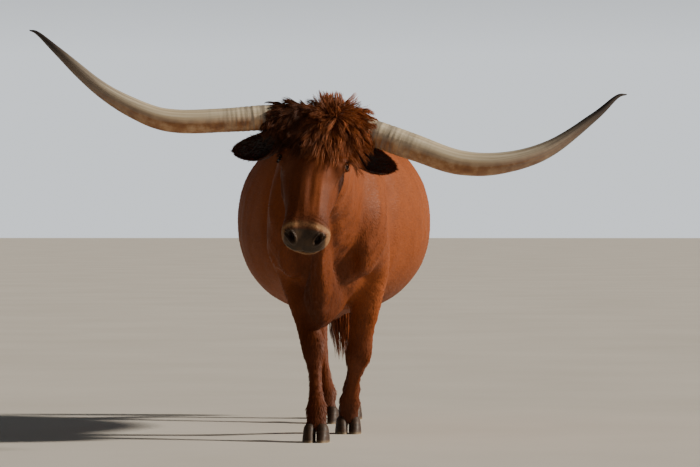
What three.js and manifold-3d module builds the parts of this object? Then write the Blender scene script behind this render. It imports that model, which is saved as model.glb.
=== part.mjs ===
// A walking Texas longhorn steer, life size, as a still museum model.
// Millimetres, +Z up. The animal faces -Y and its left side is +X.
// Flesh is modelled whole from lofted forms, then parted with thin cuts into head, neck, trunk, legs and tail.
// Horns, eyes, ears, hoof claws, forelock and tail switch are solids of their own, set into the flesh.

import * as THREE from "three";
import { mergeVertices } from "three/addons/utils/BufferGeometryUtils.js";
import Module from "manifold-3d";

const wasm = await Module();
wasm.setup();

// Driving dimensions
const gap = 0.3; // clearance that touching pieces keep
const withersHeight = 1310;
const backHeight = 1272;
const hipHeight = 1305;
const barrelHalfWidth = 412;
const barrelMiddle = 868; // height of the barrel's widest level
const barrelBottom = 484;
const shoulderHalfWidth = 214;
const eyeRadius = 20;
const degrees = Math.PI / 180;

// Head placement: the face slopes forward, and the head leans a little to the animal's left
const headPitch = 62 * degrees;
const headRoll = 6.2 * degrees;
const headYaw = 1.5 * degrees;
const headPlace = new THREE.Vector3(-4, -852, 1265);

const vec = (p) => new THREE.Vector3(...p);
const mix = (a, b, t) => a + (b - a) * t;
const signedPower = (v, p) => Math.sign(v) * Math.abs(v) ** p;

// Seeded random numbers, so that every lock falls the same way each time
function seeded(seed) {
  let state = seed;
  return () => {
    state = (state * 1664525 + 1013904223) % 4294967296;
    return state / 4294967296;
  };
}

// A closed surface through rings of equal point counts, with a pole at each end
function loft(rings) {
  const sides = rings[0].length;
  const points = rings.flat();
  const centre = (ring) =>
    ring.reduce((sum, p) => sum.add(p), new THREE.Vector3()).divideScalar(sides);
  const first = points.push(centre(rings[0])) - 1;
  const last = points.push(centre(rings[rings.length - 1])) - 1;
  const index = [];
  for (let j = 0; j < sides; j++) {
    const k = (j + 1) % sides;
    index.push(first, j, k);
    for (let i = 0; i < rings.length - 1; i++) {
      const a = i * sides + j;
      const b = i * sides + k;
      index.push(a, a + sides, b, b, a + sides, b + sides);
    }
    const top = (rings.length - 1) * sides;
    index.push(last, top + k, top + j);
  }
  return new THREE.BufferGeometry().setFromPoints(points).setIndex(index);
}

// One cross-section: an oval with its own reach up, down and to the sides, squarer where the power is higher
function section(centre, side, up, size, sides) {
  return Array.from({ length: sides }, (_, j) => {
    const angle = (j / sides) * 2 * Math.PI;
    const s = Math.sin(angle);
    const x = signedPower(Math.cos(angle), 2 / size.power) * size.side;
    const z = signedPower(s, 2 / size.power) * (s > 0 ? size.up : size.down);
    return centre.clone().addScaledVector(side, x).addScaledVector(up, z);
  });
}

// A smooth limb or trunk through stations {at, side, up, down, power}, closed by a dome at each end.
// "up" is the direction across both the way along and the side: above on the trunk, behind on a leg that runs down.
function limb(stations, { rings = 12, sides = 14, domes = [20, 20], domeSteps = [0.5, 0.85], grow = 0 }) {
  const sideways = [1, 0, 0];
  const path = new THREE.CatmullRomCurve3(stations.map((s) => vec(s.at)), false, "catmullrom", 0.5);
  const sizes = new THREE.CatmullRomCurve3(
    stations.map((s) => new THREE.Vector3(s.side, s.up, s.down)), false, "catmullrom", 0.5);
  const powers = new THREE.CatmullRomCurve3(
    stations.map((s) => new THREE.Vector3(s.power ?? 2, 0, 0)), false, "catmullrom", 0.5);
  const ringAt = (t, scale, shift) => {
    const along = path.getTangent(t);
    const side = vec(sideways).addScaledVector(along, -vec(sideways).dot(along)).normalize();
    const up = side.clone().cross(along);
    const size = sizes.getPoint(t);
    const grown = {
      side: (size.x + grow) * scale,
      up: (size.y + grow) * scale,
      down: (size.z + grow) * scale,
      power: powers.getPoint(t).x,
    };
    return section(path.getPoint(t).addScaledVector(along, shift), side, up, grown, sides);
  };
  const made = [];
  for (const k of [...domeSteps].reverse()) {
    if (domes[0]) made.push(ringAt(0, Math.sqrt(1 - k * k), -k * (domes[0] + grow)));
  }
  for (let i = 0; i <= rings; i++) made.push(ringAt(i / rings, 1, 0));
  for (const k of domeSteps) {
    if (domes[1]) made.push(ringAt(1, Math.sqrt(1 - k * k), k * (domes[1] + grow)));
  }
  return loft(made);
}

// An ellipsoid, turned and placed
function ball(at, radii, turn = [0, 0, 0], detail = [20, 12]) {
  return new THREE.SphereGeometry(1, ...detail)
    .scale(...radii)
    .applyMatrix4(new THREE.Matrix4().makeRotationFromEuler(new THREE.Euler(...turn)))
    .translate(...at);
}

// A three.js geometry as a solid that can be joined and cut
function solid(geometry) {
  const bare = geometry.clone();
  bare.deleteAttribute("normal");
  bare.deleteAttribute("uv");
  const merged = mergeVertices(bare, 1e-3);
  const made = new wasm.Manifold(new wasm.Mesh({
    numProp: 3,
    vertProperties: new Float32Array(merged.attributes.position.array),
    triVerts: new Uint32Array(merged.index.array),
  }));
  return made;
}

const join = (geometries) => geometries.map((g) => (g instanceof THREE.BufferGeometry ? solid(g) : g))
  .reduce((sum, next) => sum.add(next));

// The largest closed body of a solid, so that no loose scrap or sealed hollow is kept
const largest = (body) => body.decompose().reduce((best, b) => (b.volume() > best.volume() ? b : best));

function geometryOf(body) {
  const mesh = body.getMesh();
  const points = [];
  for (let i = 0; i < mesh.numVert; i++) {
    points.push(new THREE.Vector3(
      mesh.vertProperties[i * mesh.numProp],
      mesh.vertProperties[i * mesh.numProp + 1],
      mesh.vertProperties[i * mesh.numProp + 2]));
  }
  return new THREE.BufferGeometry().setFromPoints(points).setIndex(Array.from(mesh.triVerts));
}

// Materials, from the colours of a red steer with pale horns
const finish = (color, roughness) => new THREE.MeshStandardMaterial({ color, roughness, metalness: 0 });
const coat = finish(0x8a4524, 0.85);
const shaggyHair = finish(0x7a3a1c, 0.9);
const hornStuff = finish(0xcdbf9f, 0.45);
const eyeStuff = finish(0x1a0f0a, 0.1);
const clawStuff = finish(0x3a2f28, 0.5);

const animal = new THREE.Group();
function addNode(name, body, material, parent = animal) {
  const mesh = new THREE.Mesh(geometryOf(largest(body)), material);
  mesh.name = name;
  parent.add(mesh);
  return mesh;
}

// Trunk: sections from the point of the chest to the pin bones
function trunk() {
  const across = (y, top, bottom, side, middle, power = 2.15) => ({
    at: [0, y, middle],
    side,
    up: top - middle,
    down: middle - bottom,
    power,
  });
  return limb([
    across(-150, 1180, 600, 150, 880, 2.1),
    across(-40, 1290, 545, 196, 870, 2.05),
    across(60, withersHeight, 530, shoulderHalfWidth + 14, 860, 2.0),
    across(220, withersHeight - 16, 515, 300, 860, 2.05),
    across(400, backHeight + 12, 496, 376, barrelMiddle, 2.1),
    across(620, backHeight, barrelBottom, barrelHalfWidth, barrelMiddle, 2.15),
    across(830, backHeight + 8, 510, 384, barrelMiddle + 14, 2.15),
    across(1010, hipHeight - 8, 590, 318, 930, 2.2),
    across(1180, hipHeight - 8, 690, 268, 980, 2.3),
    across(1300, hipHeight - 38, 790, 216, 1020, 2.3),
  ], { rings: 16, sides: 22, domes: [80, 95] });
}

// Shoulder blades and hook bones raise the trunk's sides
function trunkMuscles() {
  const made = [];
  for (const side of [-1, 1]) {
    made.push(limb([
      { at: [side * 96, 60, 1235], side: 56, up: 92, down: 92 },
      { at: [side * 140, -20, 1080], side: 84, up: 140, down: 134 },
      { at: [side * 152, -92, 930], side: 92, up: 150, down: 140 },
      { at: [side * 148, -124, 820], side: 82, up: 128, down: 124 },
      { at: [side * 130, -124, 700], side: 60, up: 92, down: 90 },
    ], { rings: 6, sides: 12, domes: [40, 50] }));
    made.push(ball([side * 208, 1010, 1196], [70, 120, 72], [0, side * 0.4, side * 0.1], [12, 8]));
  }
  return made;
}

// Neck, from inside the chest to behind the cheeks
function neck() {
  return limb([
    { at: [0, 60, 960], side: 176, up: 340, down: 300, power: 2.0 },
    { at: [0, -190, 985], side: 160, up: 288, down: 270, power: 2.0 },
    { at: [0, -400, 1045], side: 128, up: 216, down: 226, power: 2.05 },
    { at: [-2, -590, 1110], side: 106, up: 158, down: 168, power: 2.1 },
    { at: [-4, -740, 1165], side: 96, up: 112, down: 130, power: 2.1 },
    { at: [-5, -815, 1190], side: 88, up: 82, down: 92, power: 2.1 },
  ], { rings: 9, sides: 18, domes: [60, 30] });
}

// Dewlap and brisket: a hanging fold from the throat to between the forelegs, swung to the animal's right
function dewlap() {
  return limb([
    { at: [-4, -700, 1050], side: 26, up: 60, down: 40 },
    { at: [-4, -560, 930], side: 28, up: 90, down: 66 },
    { at: [-6, -430, 800], side: 34, up: 110, down: 84 },
    { at: [-12, -330, 680], side: 50, up: 120, down: 106 },
    { at: [-16, -215, 590], side: 72, up: 120, down: 130 },
    { at: [-10, -60, 565], side: 88, up: 110, down: 92 },
    { at: [0, 120, 585], side: 96, up: 90, down: 60 },
  ], { rings: 9, sides: 12, domes: [26, 60] });
}

// Legs: stations run down from inside the trunk, "up" is behind and "down" is in front
const legStation = (at, side, rear, fore, power = 2) => ({ at, side, up: rear, down: fore, power });

function foreLeg(side, elbow, knee, fetlock, foot, build) {
  const between = (a, b, t, dx = 0, dy = 0) => [mix(a[0], b[0], t) + dx, mix(a[1], b[1], t) + dy, mix(a[2], b[2], t)];
  return limb([
    legStation([side * 160, -124, 852], 84, 120, 112),
    legStation([mix(side * 164, elbow[0], 0.5), mix(-124, elbow[1], 0.62), 768], 82, 112, 108),
    legStation(elbow, 70 * build, 84, 76),
    legStation(between(elbow, knee, 0.35), 60 * build, 62, 60),
    legStation(between(elbow, knee, 0.75), 50 * build, 44, 46),
    legStation(knee, 50 * build, 42, 48, 2.3),
    legStation(between(knee, fetlock, 0.22), 40 * build, 34, 36, 2.2),
    legStation(between(knee, fetlock, 0.6), 30, 30, 28),
    legStation(between(knee, fetlock, 0.85), 35, 36, 30),
    legStation(fetlock, 46, 42, 36, 2.2),
    legStation(between(fetlock, foot, 0.45), 41, 35, 32, 2.2),
    legStation(between(fetlock, foot, 0.9), 46, 42, 40, 2.3),
  ], { rings: 17, sides: 12, domes: [50, 0] });
}

function hindLeg(side, stifle, hock, fetlock, foot) {
  const between = (a, b, t, dx = 0, dy = 0, dz = 0) =>
    [mix(a[0], b[0], t) + dx, mix(a[1], b[1], t) + dy, mix(a[2], b[2], t) + dz];
  return limb([
    legStation([side * 132, 1172, 1120], 104, 206, 190),
    legStation([mix(side * 150, stifle[0], 0.6), 1168, 930], 112, 222, 190),
    legStation([stifle[0], mix(1150, stifle[1], 0.5) + 40, stifle[2] + 40], 96, 205, 160),
    legStation(between(stifle, hock, 0.32, 0, 52), 72, 142, 96),
    legStation(between(stifle, hock, 0.62, 0, 30), 52, 88, 56),
    legStation(between(stifle, hock, 0.85, 0, 8), 42, 60, 42),
    legStation(hock, 43, 54, 44, 2.2),
    legStation(between(hock, fetlock, 0.2), 37, 38, 38, 2.2),
    legStation(between(hock, fetlock, 0.6), 31, 30, 30),
    legStation(between(hock, fetlock, 0.88), 36, 36, 31),
    legStation(fetlock, 44, 42, 36, 2.2),
    legStation(between(fetlock, foot, 0.45), 39, 35, 32, 2.2),
    legStation(between(fetlock, foot, 0.9), 45, 42, 40, 2.3),
  ], { rings: 18, sides: 12, domes: [60, 0] });
}

// One foot: two claws side by side with a cleft between them, flat on the floor
const clawCleft = 5;
const clawWidth = 24;
const coronetHeight = 58;
function claws(foot, turn) {
  return [-1, 1].map((side) => {
    const level = (z, half, heel, toe, shift) => section(
      new THREE.Vector3(side * (clawCleft / 2 + half), shift, z),
      new THREE.Vector3(1, 0, 0), new THREE.Vector3(0, 1, 0),
      { side: half, up: heel, down: toe, power: 2.3 }, 10);
    return loft([
      level(coronetHeight + 24, clawWidth - 5, 26, 22, 6),
      level(coronetHeight, clawWidth - 1, 37, 36, 2),
      level(30, clawWidth + 1, 40, 50, 0),
            level(0, clawWidth + 2, 40, 63, -2),
    ]).rotateZ(turn).translate(foot[0], foot[1], 0);
  });
}

// Where each leg's joints are: elbow or stifle, knee or hock, fetlock, foot.
// The right fore reaches forward, the left fore trails, the right hind steps under and the left hind behind.
const legs = {
  fore_right: {
    make: foreLeg, side: -1, turn: -0.05, build: 1,
    joints: [[-144, -10, 690], [-52, -150, 372], [-36, -262, 132], [-36, -300, 40]],
  },
  fore_left: {
    make: foreLeg, side: 1, turn: 0.06, build: 1.12,
    joints: [[172, 40, 680], [122, 72, 340], [80, 222, 134], [74, 236, 40]],
  },
  hind_right: {
    make: hindLeg, side: -1, turn: -0.04, build: 1,
    joints: [[-190, 960, 740], [-84, 1130, 480], [-44, 962, 134], [-40, 920, 40]],
  },
  hind_left: {
    make: hindLeg, side: 1, turn: 0.04, build: 1,
    joints: [[186, 990, 735], [98, 1318, 486], [56, 1262, 134], [50, 1232, 40]],
  },
};

// Tail: from the tail head, over the pin bones and down behind the thighs
const tailPath = [
  { at: [0, 1180, 1250], side: 60, up: 36, down: 50 },
  { at: [0, 1310, 1262], side: 48, up: 30, down: 44 },
  { at: [0, 1398, 1240], side: 36, up: 28, down: 32 },
  { at: [3, 1440, 1160], side: 26, up: 22, down: 25 },
  { at: [7, 1452, 1030], side: 20, up: 17, down: 19 },
  { at: [11, 1456, 880], side: 17, up: 14, down: 15 },
  { at: [15, 1458, 740], side: 14, up: 12, down: 12 },
  { at: [18, 1458, 610], side: 13, up: 11, down: 11 },
];
const tailEnd = tailPath[tailPath.length - 1].at;

// Head in its own frame: +Y from muzzle to poll, +Z out of the forehead, origin between the horn roots.
// Stations give the top and bottom of each section, from the upper lip back to the nape.
const headStation = (y, top, bottom, side, power = 2.2, middle = 0.5) => {
  const z = mix(bottom, top, middle);
  return { at: [0, y, z], side, up: top - z, down: z - bottom, power };
};
const headStations = [
  headStation(-517, -62, -108, 50, 2.3),
  headStation(-503, -44, -122, 70, 2.5),
  headStation(-480, -24, -132, 84, 2.6),
  headStation(-450, -10, -137, 86, 2.5),
  headStation(-415, -6, -140, 79, 2.3),
  headStation(-370, -8, -150, 75, 2.2),
  headStation(-310, -6, -172, 83, 2.2),
  headStation(-250, -2, -196, 99, 2.3),
  headStation(-190, 2, -214, 114, 2.4, 0.55),
  headStation(-130, 6, -220, 120, 2.5, 0.58),
  headStation(-70, 8, -208, 119, 2.5, 0.6),
  headStation(-10, 6, -178, 120, 2.4, 0.6),
  headStation(45, -14, -140, 98, 2.2, 0.5),
];
const eyePlace = [114, -170, -48];

function headForm(grow = 0) {
  const forms = [limb(headStations, { rings: 17, sides: 20, domes: [8, 34], grow })];
  for (const side of [-1, 1]) {
    const grown = (radii) => radii.map((r) => r + grow);
    forms.push(ball([side * 96, -162, -40], grown([46, 54, 38]), [0, side * 0.35, side * -0.15], [12, 8]));
    forms.push(ball([side * 80, -160, -140], grown([44, 88, 70]), [0, 0, 0], [10, 7]));
  }
  return forms;
}

// Horns: the middle line of each, from its hidden root to its tip, with the horn's radius there.
// The right one turns up sooner and higher, the left one hangs lower, and both tips lean back.
const hornLines = {
  right: [
    [-96, -812, 1270, 49], [-215, -826, 1270, 48.5], [-362, -846, 1260, 46.5], [-530, -862, 1256, 45],
    [-657, -866, 1284, 40.5], [-827, -852, 1375, 30.5], [-993, -826, 1518, 17], [-1077, -806, 1592, 8], [-1113, -796, 1607, 2],
  ],
  left: [
    [96, -812, 1236, 50], [214, -826, 1208, 50.5], [370, -846, 1152, 50], [538, -862, 1098, 46.5],
    [705, -864, 1099, 41], [875, -846, 1154, 30], [1043, -818, 1273, 16.5], [1128, -800, 1348, 8], [1168, -792, 1359, 2],
  ],
};

function horn(name, grow = 0) {
  const line = new THREE.CatmullRomCurve3(hornLines[name].map((p) => vec(p)), false, "catmullrom", 0.5);
  const radii = new THREE.CatmullRomCurve3(hornLines[name].map((p) => new THREE.Vector3(p[3], 0, 0)), false, "catmullrom", 0.5);
  const steps = 20;
  const rings = [];
  for (let i = 0; i <= steps; i++) {
    const t = (i / steps) * (1 - 0.04 * (i / steps)) / 0.96;
    const along = line.getTangent(t);
    const fore = new THREE.Vector3(0, -1, 0).addScaledVector(along, along.y).normalize();
    const radius = Math.max(radii.getPoint(t).x, 2) + grow;
    const shift = i === 0 ? -grow : 0;
    rings.push(section(line.getPoint(t).addScaledVector(along, shift), fore, fore.clone().cross(along),
      { side: radius, up: radius, down: radius, power: 2 }, 12));
  }
  return loft(rings);
}

// An ear: a leaf-shaped cup on a short stalk, hollow side forward
const earLength = 190;
function ear(side, grow = 0) {
  const steps = 10;
  const arcPoints = 7;
  const rings = [];
  for (let i = 0; i <= steps; i++) {
    const u = i / steps;
    const leaf = Math.sqrt(Math.sin(Math.PI * Math.min(1, 0.24 + 0.76 * u)));
    const half = 49 * leaf * (u < 0.3 ? mix(0.62, 1, u / 0.3) : 1) + 3 + grow;
    const depth = half * mix(0.95, 0.36, u ** 0.8);
    const wall = mix(13, 6, Math.min(1, u * 1.6)) * Math.min(1, half / 24) + 2 * grow;
    const open = mix(2.7, 1.8, Math.min(1, u * 1.8)); // how far the rim wraps round, in radians each way
    const end = i === 0 ? -grow : i === steps ? grow : 0;
    const centre = new THREE.Vector3(side * (u * earLength + end), -16 * Math.sin(u * 2.2), 0);
    const outer = [];
    const inner = [];
    for (let j = 0; j < arcPoints; j++) {
      const a = mix(-open, open, j / (arcPoints - 1));
      const point = (r, d) => new THREE.Vector3(centre.x, centre.y + Math.sin(a) * r, centre.z - Math.cos(a) * d);
      outer.push(point(half, depth));
      inner.unshift(point(half - wall * 0.85, depth - wall));
    }
    const ring = [...outer, ...inner];
    rings.push(side > 0 ? ring.reverse() : ring);
  }
  return loft(rings);
}
const earPlace = (side) => new THREE.Matrix4()
  .makeRotationFromEuler(new THREE.Euler(0.45, side * 0.12, side * -0.26, "XYZ"))
  .setPosition(side * 134, -62, -84);

// A lock of long hair: flat, tapered and bent along its way
function lock(root, aim, fall, out, length, width, thick) {
  const steps = 4;
  const at = root.clone();
  const rings = [];
  for (let i = 0; i <= steps; i++) {
    const u = i / steps;
    const along = aim.clone().lerp(fall, u ** 0.8).normalize();
    const flat = out.clone().addScaledVector(along, -out.dot(along)).normalize();
    const across = flat.clone().cross(along).normalize();
    const taper = u < 0.35 ? mix(0.75, 1, u / 0.35) : Math.sqrt(Math.max(0, 1 - ((u - 0.35) / 0.66) ** 1.6));
    const half = Math.max(width * taper, 0.9);
    const deep = Math.max(thick * taper, 0.6);
    rings.push(section(at.clone(), across, across.clone().cross(along), { side: half, up: deep, down: deep, power: 1.6 }, 5));
    at.addScaledVector(along, length / steps);
  }
  return loft(rings);
}

// Head group and its placement
const headGroup = new THREE.Group();
headGroup.position.copy(headPlace);
headGroup.quaternion
  .multiply(new THREE.Quaternion().setFromAxisAngle(new THREE.Vector3(0, 1, 0), headRoll))
  .multiply(new THREE.Quaternion().setFromAxisAngle(new THREE.Vector3(0, 0, 1), headYaw))
  .multiply(new THREE.Quaternion().setFromAxisAngle(new THREE.Vector3(1, 0, 0), headPitch));
headGroup.updateMatrix();
animal.add(headGroup);
const toWorld = headGroup.matrix;
const toHead = toWorld.clone().invert();
const moved = (body, matrix) => body.transform(matrix.elements);

// Head with mouth line, nostrils, lids and sockets
function headSolid() {
  let head = join(headForm());
  const lids = [];
  const cuts = [];
  for (const side of [-1, 1]) {
    const at = [side * eyePlace[0], eyePlace[1], eyePlace[2]];
    lids.push(ball(at, [27, 30, 27], [0, 0, 0], [12, 8]));
    cuts.push(ball(at, Array(3).fill(eyeRadius + gap), [0, 0, 0], [12, 8]));
    const look = new THREE.Vector3(side * 0.86, 0, 0.5);
    const slit = vec(at).addScaledVector(look, 20);
    cuts.push(ball(slit.toArray(), [12, 11, 19.5], [side * 0.2, side * 1.02, Math.PI / 2 + side * 0.12], [10, 6]));
    // Nostril: a comma that opens outward and runs back into the nose
    cuts.push(ball([side * 50, -492, -38], [12, 24, 17], [0.5, side * 0.35, side * -0.5], [10, 6]));
    cuts.push(ball([side * 64, -480, -48], [10, 19, 9], [0.4, 0, side * -0.7], [8, 6]));
  }
  head = join([head, ...lids]);
  // Mouth line: a shallow groove round the muzzle, between the lips
  const slab = solid(new THREE.BoxGeometry(240, 190, 4).rotateX(-0.1).translate(0, -450, -98));
  const inside = solid(limb(headStations, { rings: 17, sides: 20, domes: [8, 34], grow: -11 }));
  head = head.subtract(slab.subtract(inside));
  for (const cut of cuts) head = head.subtract(solid(cut));
  return head;
}

// Whole flesh: trunk, neck, legs, tail and head together
let flesh = join([trunk(), ...trunkMuscles(), neck(), dewlap()]);
const feet = {};
for (const [name, leg] of Object.entries(legs)) {
  flesh = flesh.add(solid(leg.make(leg.side, ...leg.joints, leg.build)));
  feet[name] = leg.joints[3];
}
flesh = flesh.add(solid(limb(tailPath, { rings: 11, sides: 10, domes: [30, 8] })));
let headFlesh = headSolid();
flesh = flesh.add(moved(headFlesh, toWorld));

// Parts the flesh with a cell: what is inside becomes the piece, what is outside stays
function carve(cell, thinner) {
  const piece = flesh.intersect(solid(cell));
  flesh = flesh.subtract(solid(thinner));
  return piece;
}
function boxCell(size, at, turn) {
  const made = (extra) => new THREE.BoxGeometry(...size.map((s) => s + 2 * extra))
    .applyMatrix4(new THREE.Matrix4().makeRotationFromEuler(new THREE.Euler(...turn)))
    .translate(...at);
  return [made(0), made(gap)];
}

// Claws and dewclaws
const dewclaws = {};
for (const [name, leg] of Object.entries(legs)) {
  const [x, y] = leg.joints[3];
  const made = claws(leg.joints[3], leg.turn);
  // The coronet: a tilted cut, higher at the toe, above which the pastern keeps its flesh
  const [, above] = boxCell([200, 260, 200], [x, y, coronetHeight + 100], [-0.16, 0, 0]);
  const [, below] = boxCell([200, 260, 200], [x, y, coronetHeight - 100 - 2 * gap], [-0.16, 0, 0]);
  flesh = flesh.subtract(solid(below));
  ["inner", "outer"].forEach((place, i) => {
    const which = place === "outer" ? leg.side : -leg.side;
    const body = solid(made[which > 0 ? 1 : 0]).subtract(solid(above));
    addNode(`claw_${name}_${place}`, body, clawStuff);
    const [fx, fy, fz] = leg.joints[2];
    const spur = (grow) => solid(limb([
      { at: [fx + which * 20, fy + 26, fz - 4], side: 13 + grow, up: 12 + grow, down: 12 + grow },
      { at: [fx + which * 23, fy + 46, fz - 16], side: 12 + grow, up: 10 + grow, down: 10 + grow },
      { at: [fx + which * 24, fy + 58, fz - 34], side: 6 + grow, up: 5 + grow, down: 5 + grow },
    ], { rings: 3, sides: 8, domes: [0, 5 + grow], domeSteps: [0.8] }));
    dewclaws[`dewclaw_${name}_${place}`] = spur(0);
    flesh = flesh.subtract(spur(gap));
  });
}
for (const [name, body] of Object.entries(dewclaws)) addNode(name, body, clawStuff);

// Legs, parted below the trunk and at knee or hock
const legCuts = {
  fore_right: { top: 528, middle: 338, tilt: 0.2, low: 0.3 },
  fore_left: { top: 528, middle: 312, tilt: -0.06, low: -0.42 },
  hind_right: { top: 640, middle: 438, tilt: -0.5, low: 0.34 },
  hind_left: { top: 640, middle: 440, tilt: -0.8, low: 0.14 },
};
for (const [name, leg] of Object.entries(legs)) {
  const [upperJoint, middleJoint, fetlock] = leg.joints;
  const cut = legCuts[name];
  const t = (cut.middle - middleJoint[2]) / (fetlock[2] - middleJoint[2]);
  const lowCentre = [mix(middleJoint[0], fetlock[0], t), mix(middleJoint[1], fetlock[1], t), cut.middle];
  const below = (centre, height, size, tilt) => {
    const down = new THREE.Vector3(0, 0, -height / 2).applyEuler(new THREE.Euler(tilt, 0, 0));
    return boxCell([...size, height], vec(centre).add(down).toArray(), [tilt, 0, 0]);
  };
  addNode(`${name}_cannon`, carve(...below(lowCentre, 420, [150, 300], -cut.low)), coat);
  const u = (cut.top - upperJoint[2]) / (middleJoint[2] - upperJoint[2]);
  const fore = leg.make === foreLeg;
  const back = fore ? 10 : 45;
  const topCentre = [mix(upperJoint[0], middleJoint[0], u), mix(upperJoint[1], middleJoint[1], u) + back, cut.top];
  const size = fore ? [170, 250] : [190, 340];
  addNode(`${name}_${fore ? "forearm" : "gaskin"}`, carve(...below(topCentre, 330, size, -cut.tilt * 0.4)), coat);
}

// Horns, eyes and ears set into the head
const sideName = (side) => (side > 0 ? "left" : "right");
const clearOfHead = moved(join(headForm(gap)), toWorld);
const hornRoom = join(["left", "right"].map((name) => horn(name, gap)));
flesh = flesh.subtract(hornRoom);
for (const side of [-1, 1]) {
  addNode(`horn_${sideName(side)}`, solid(horn(sideName(side))), hornStuff);
  const at = [side * eyePlace[0], eyePlace[1], eyePlace[2]];
  addNode(`eye_${sideName(side)}`, solid(ball(at, Array(3).fill(eyeRadius), [0, 0, 0], [12, 8])), eyeStuff, headGroup);
}

// Forelock: a mop on the poll that wraps the horn roots
function forelockCore(grow = 0) {
  const radii = (r) => r.map((v) => v + grow);
  return join([
    ...[-1, 1].map((side) => ball([side * 104, 6, -44], radii([112, 78, 78]), [0, 0, side * -0.08], [12, 7])),
    ball([0, -26, -22], radii([104, 96, 52]), [0.2, 0, 0], [12, 7]),
  ]);
}
const clearOfMop = moved(forelockCore(gap), toWorld);
const earRoom = [];
for (const side of [-1, 1]) {
  const place = toWorld.clone().multiply(earPlace(side));
  const body = moved(solid(ear(side)), place).subtract(clearOfHead).subtract(hornRoom).subtract(clearOfMop);
  addNode(`ear_${sideName(side)}`, moved(body, toHead), coat, headGroup);
  earRoom.push(moved(solid(ear(side, gap)), place));
}
// Locks of the forelock part along the crown and fall forward over the brow, back on the nape and down the sides
function forelockLocks() {
  const random = seeded(7);
  const made = [];
  const rows = [
    { count: 5, across: 184, y: 58, z: -60, out: [0, 0.75, -0.55], fall: [0.2, 0.05, -1], length: 96 },
    { count: 6, across: 192, y: 66, z: -30, out: [0, 1, 0.1], fall: [0.7, 0.25, -0.6], length: 92 },
    { count: 6, across: 176, y: 36, z: 14, out: [0, 0.6, 0.8], fall: [0.4, -0.8, 0.2], length: 108 },
    { count: 4, across: 112, y: -22, z: 22, out: [0, 0.1, 1], fall: [0.2, -1, -0.02], length: 132 },
  ];
  for (const row of rows) {
    for (let i = 0; i < row.count; i++) {
      const u = ((i + 0.5) / row.count) * 2 - 1;
      const shiver = () => (random() - 0.5) * 0.5;
      const out = new THREE.Vector3(u * 0.55 + shiver() * 0.4, row.out[1], row.out[2]).normalize();
      const ends = Math.sqrt(Math.max(0, 1 - (Math.abs(u) ** 3) * 0.55));
      const root = new THREE.Vector3(u * row.across, row.y * ends, mix(-46, row.z, ends));
      const fall = new THREE.Vector3(Math.sign(u) * row.fall[0] + shiver(), row.fall[1] + shiver() * 0.5, row.fall[2]).normalize();
      const aim = out.clone().multiplyScalar(0.7).addScaledVector(fall, 0.8).normalize();
      made.push(lock(root.addScaledVector(out, -8), aim, fall, out, row.length * mix(0.85, 1.2, random()), mix(22, 29, random()), 9));
    }
  }
  return made;
}
const mopWhole = moved(join([forelockCore(), ...forelockLocks()]), toWorld);
const mop = mopWhole.subtract(hornRoom).subtract(clearOfHead).subtract(join(earRoom));
flesh = flesh.subtract(clearOfMop);
addNode("forelock", moved(mop, toHead), shaggyHair, headGroup);

// Tail switch: a brush of hair that hangs from the end of the tail
function tailSwitch() {
  const down = (x, y, z, side) => ({ at: [tailEnd[0] + x, tailEnd[1] + y, tailEnd[2] + z], side, up: side * 0.85, down: side * 0.85 });
  const random = seeded(11);
  const core = solid(limb([
    down(0, 0, -10.5, 16),
    down(2, -2, -70, 27),
    down(3, -4, -150, 27),
    down(3, -5, -220, 14),
  ], { rings: 6, sides: 10, domes: [0, 14] }));
  const locks = [];
  for (let i = 0; i < 12; i++) {
    const angle = i * 2.4;
    const level = ((i * 7) % 12) / 11;
    const out = new THREE.Vector3(Math.cos(angle), Math.sin(angle), 0);
    const root = vec(tailEnd).add(new THREE.Vector3(2, -2, -26 - 120 * level)).addScaledVector(out, 12);
    const aim = out.clone().multiplyScalar(0.42).add(new THREE.Vector3(0, 0, -1)).normalize();
    const fall = out.clone().multiplyScalar(-0.05).add(new THREE.Vector3((random() - 0.5) * 0.1, 0, -1)).normalize();
    locks.push(lock(root, aim, fall, out, mix(195, 250, random()), 17, 8));
  }
  return join([core, ...locks]);
}
const tailCut = tailEnd[2] - 10;
const tailCell = boxCell([160, 330, 800], [tailEnd[0], 1410 + 165 - 8, tailCut + 400], [0, 0, 0]);
addNode("tail", carve(...tailCell), coat);
addNode("tail_switch", tailSwitch(), shaggyHair);

// Head and neck
const headCell = boxCell([560, 800, 900], [0, -331, 76], [-0.6, 0, 0])
  .map((cell) => cell.applyMatrix4(toWorld));
addNode("head", moved(carve(...headCell), toHead), coat, headGroup);
addNode("neck", carve(...boxCell([700, 900, 1300], [0, -634, 1163], [-0.371, 0, 0])), coat);
addNode("trunk", flesh, coat);

// The origin: on the floor, under the middle of the whole animal
const bounds = new THREE.Box3().setFromObject(animal, true);
const middle = bounds.getCenter(new THREE.Vector3());
animal.position.set(-middle.x, -middle.y, -bounds.min.z);

export default animal;
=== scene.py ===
"""A walking longhorn steer, life size, dressed over its solid model: skin, hair, horns, eyes and hooves."""

import itertools
import math

import bmesh
import bpy
import numpy as np
from mathutils import Euler, Matrix, Quaternion, Vector


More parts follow.
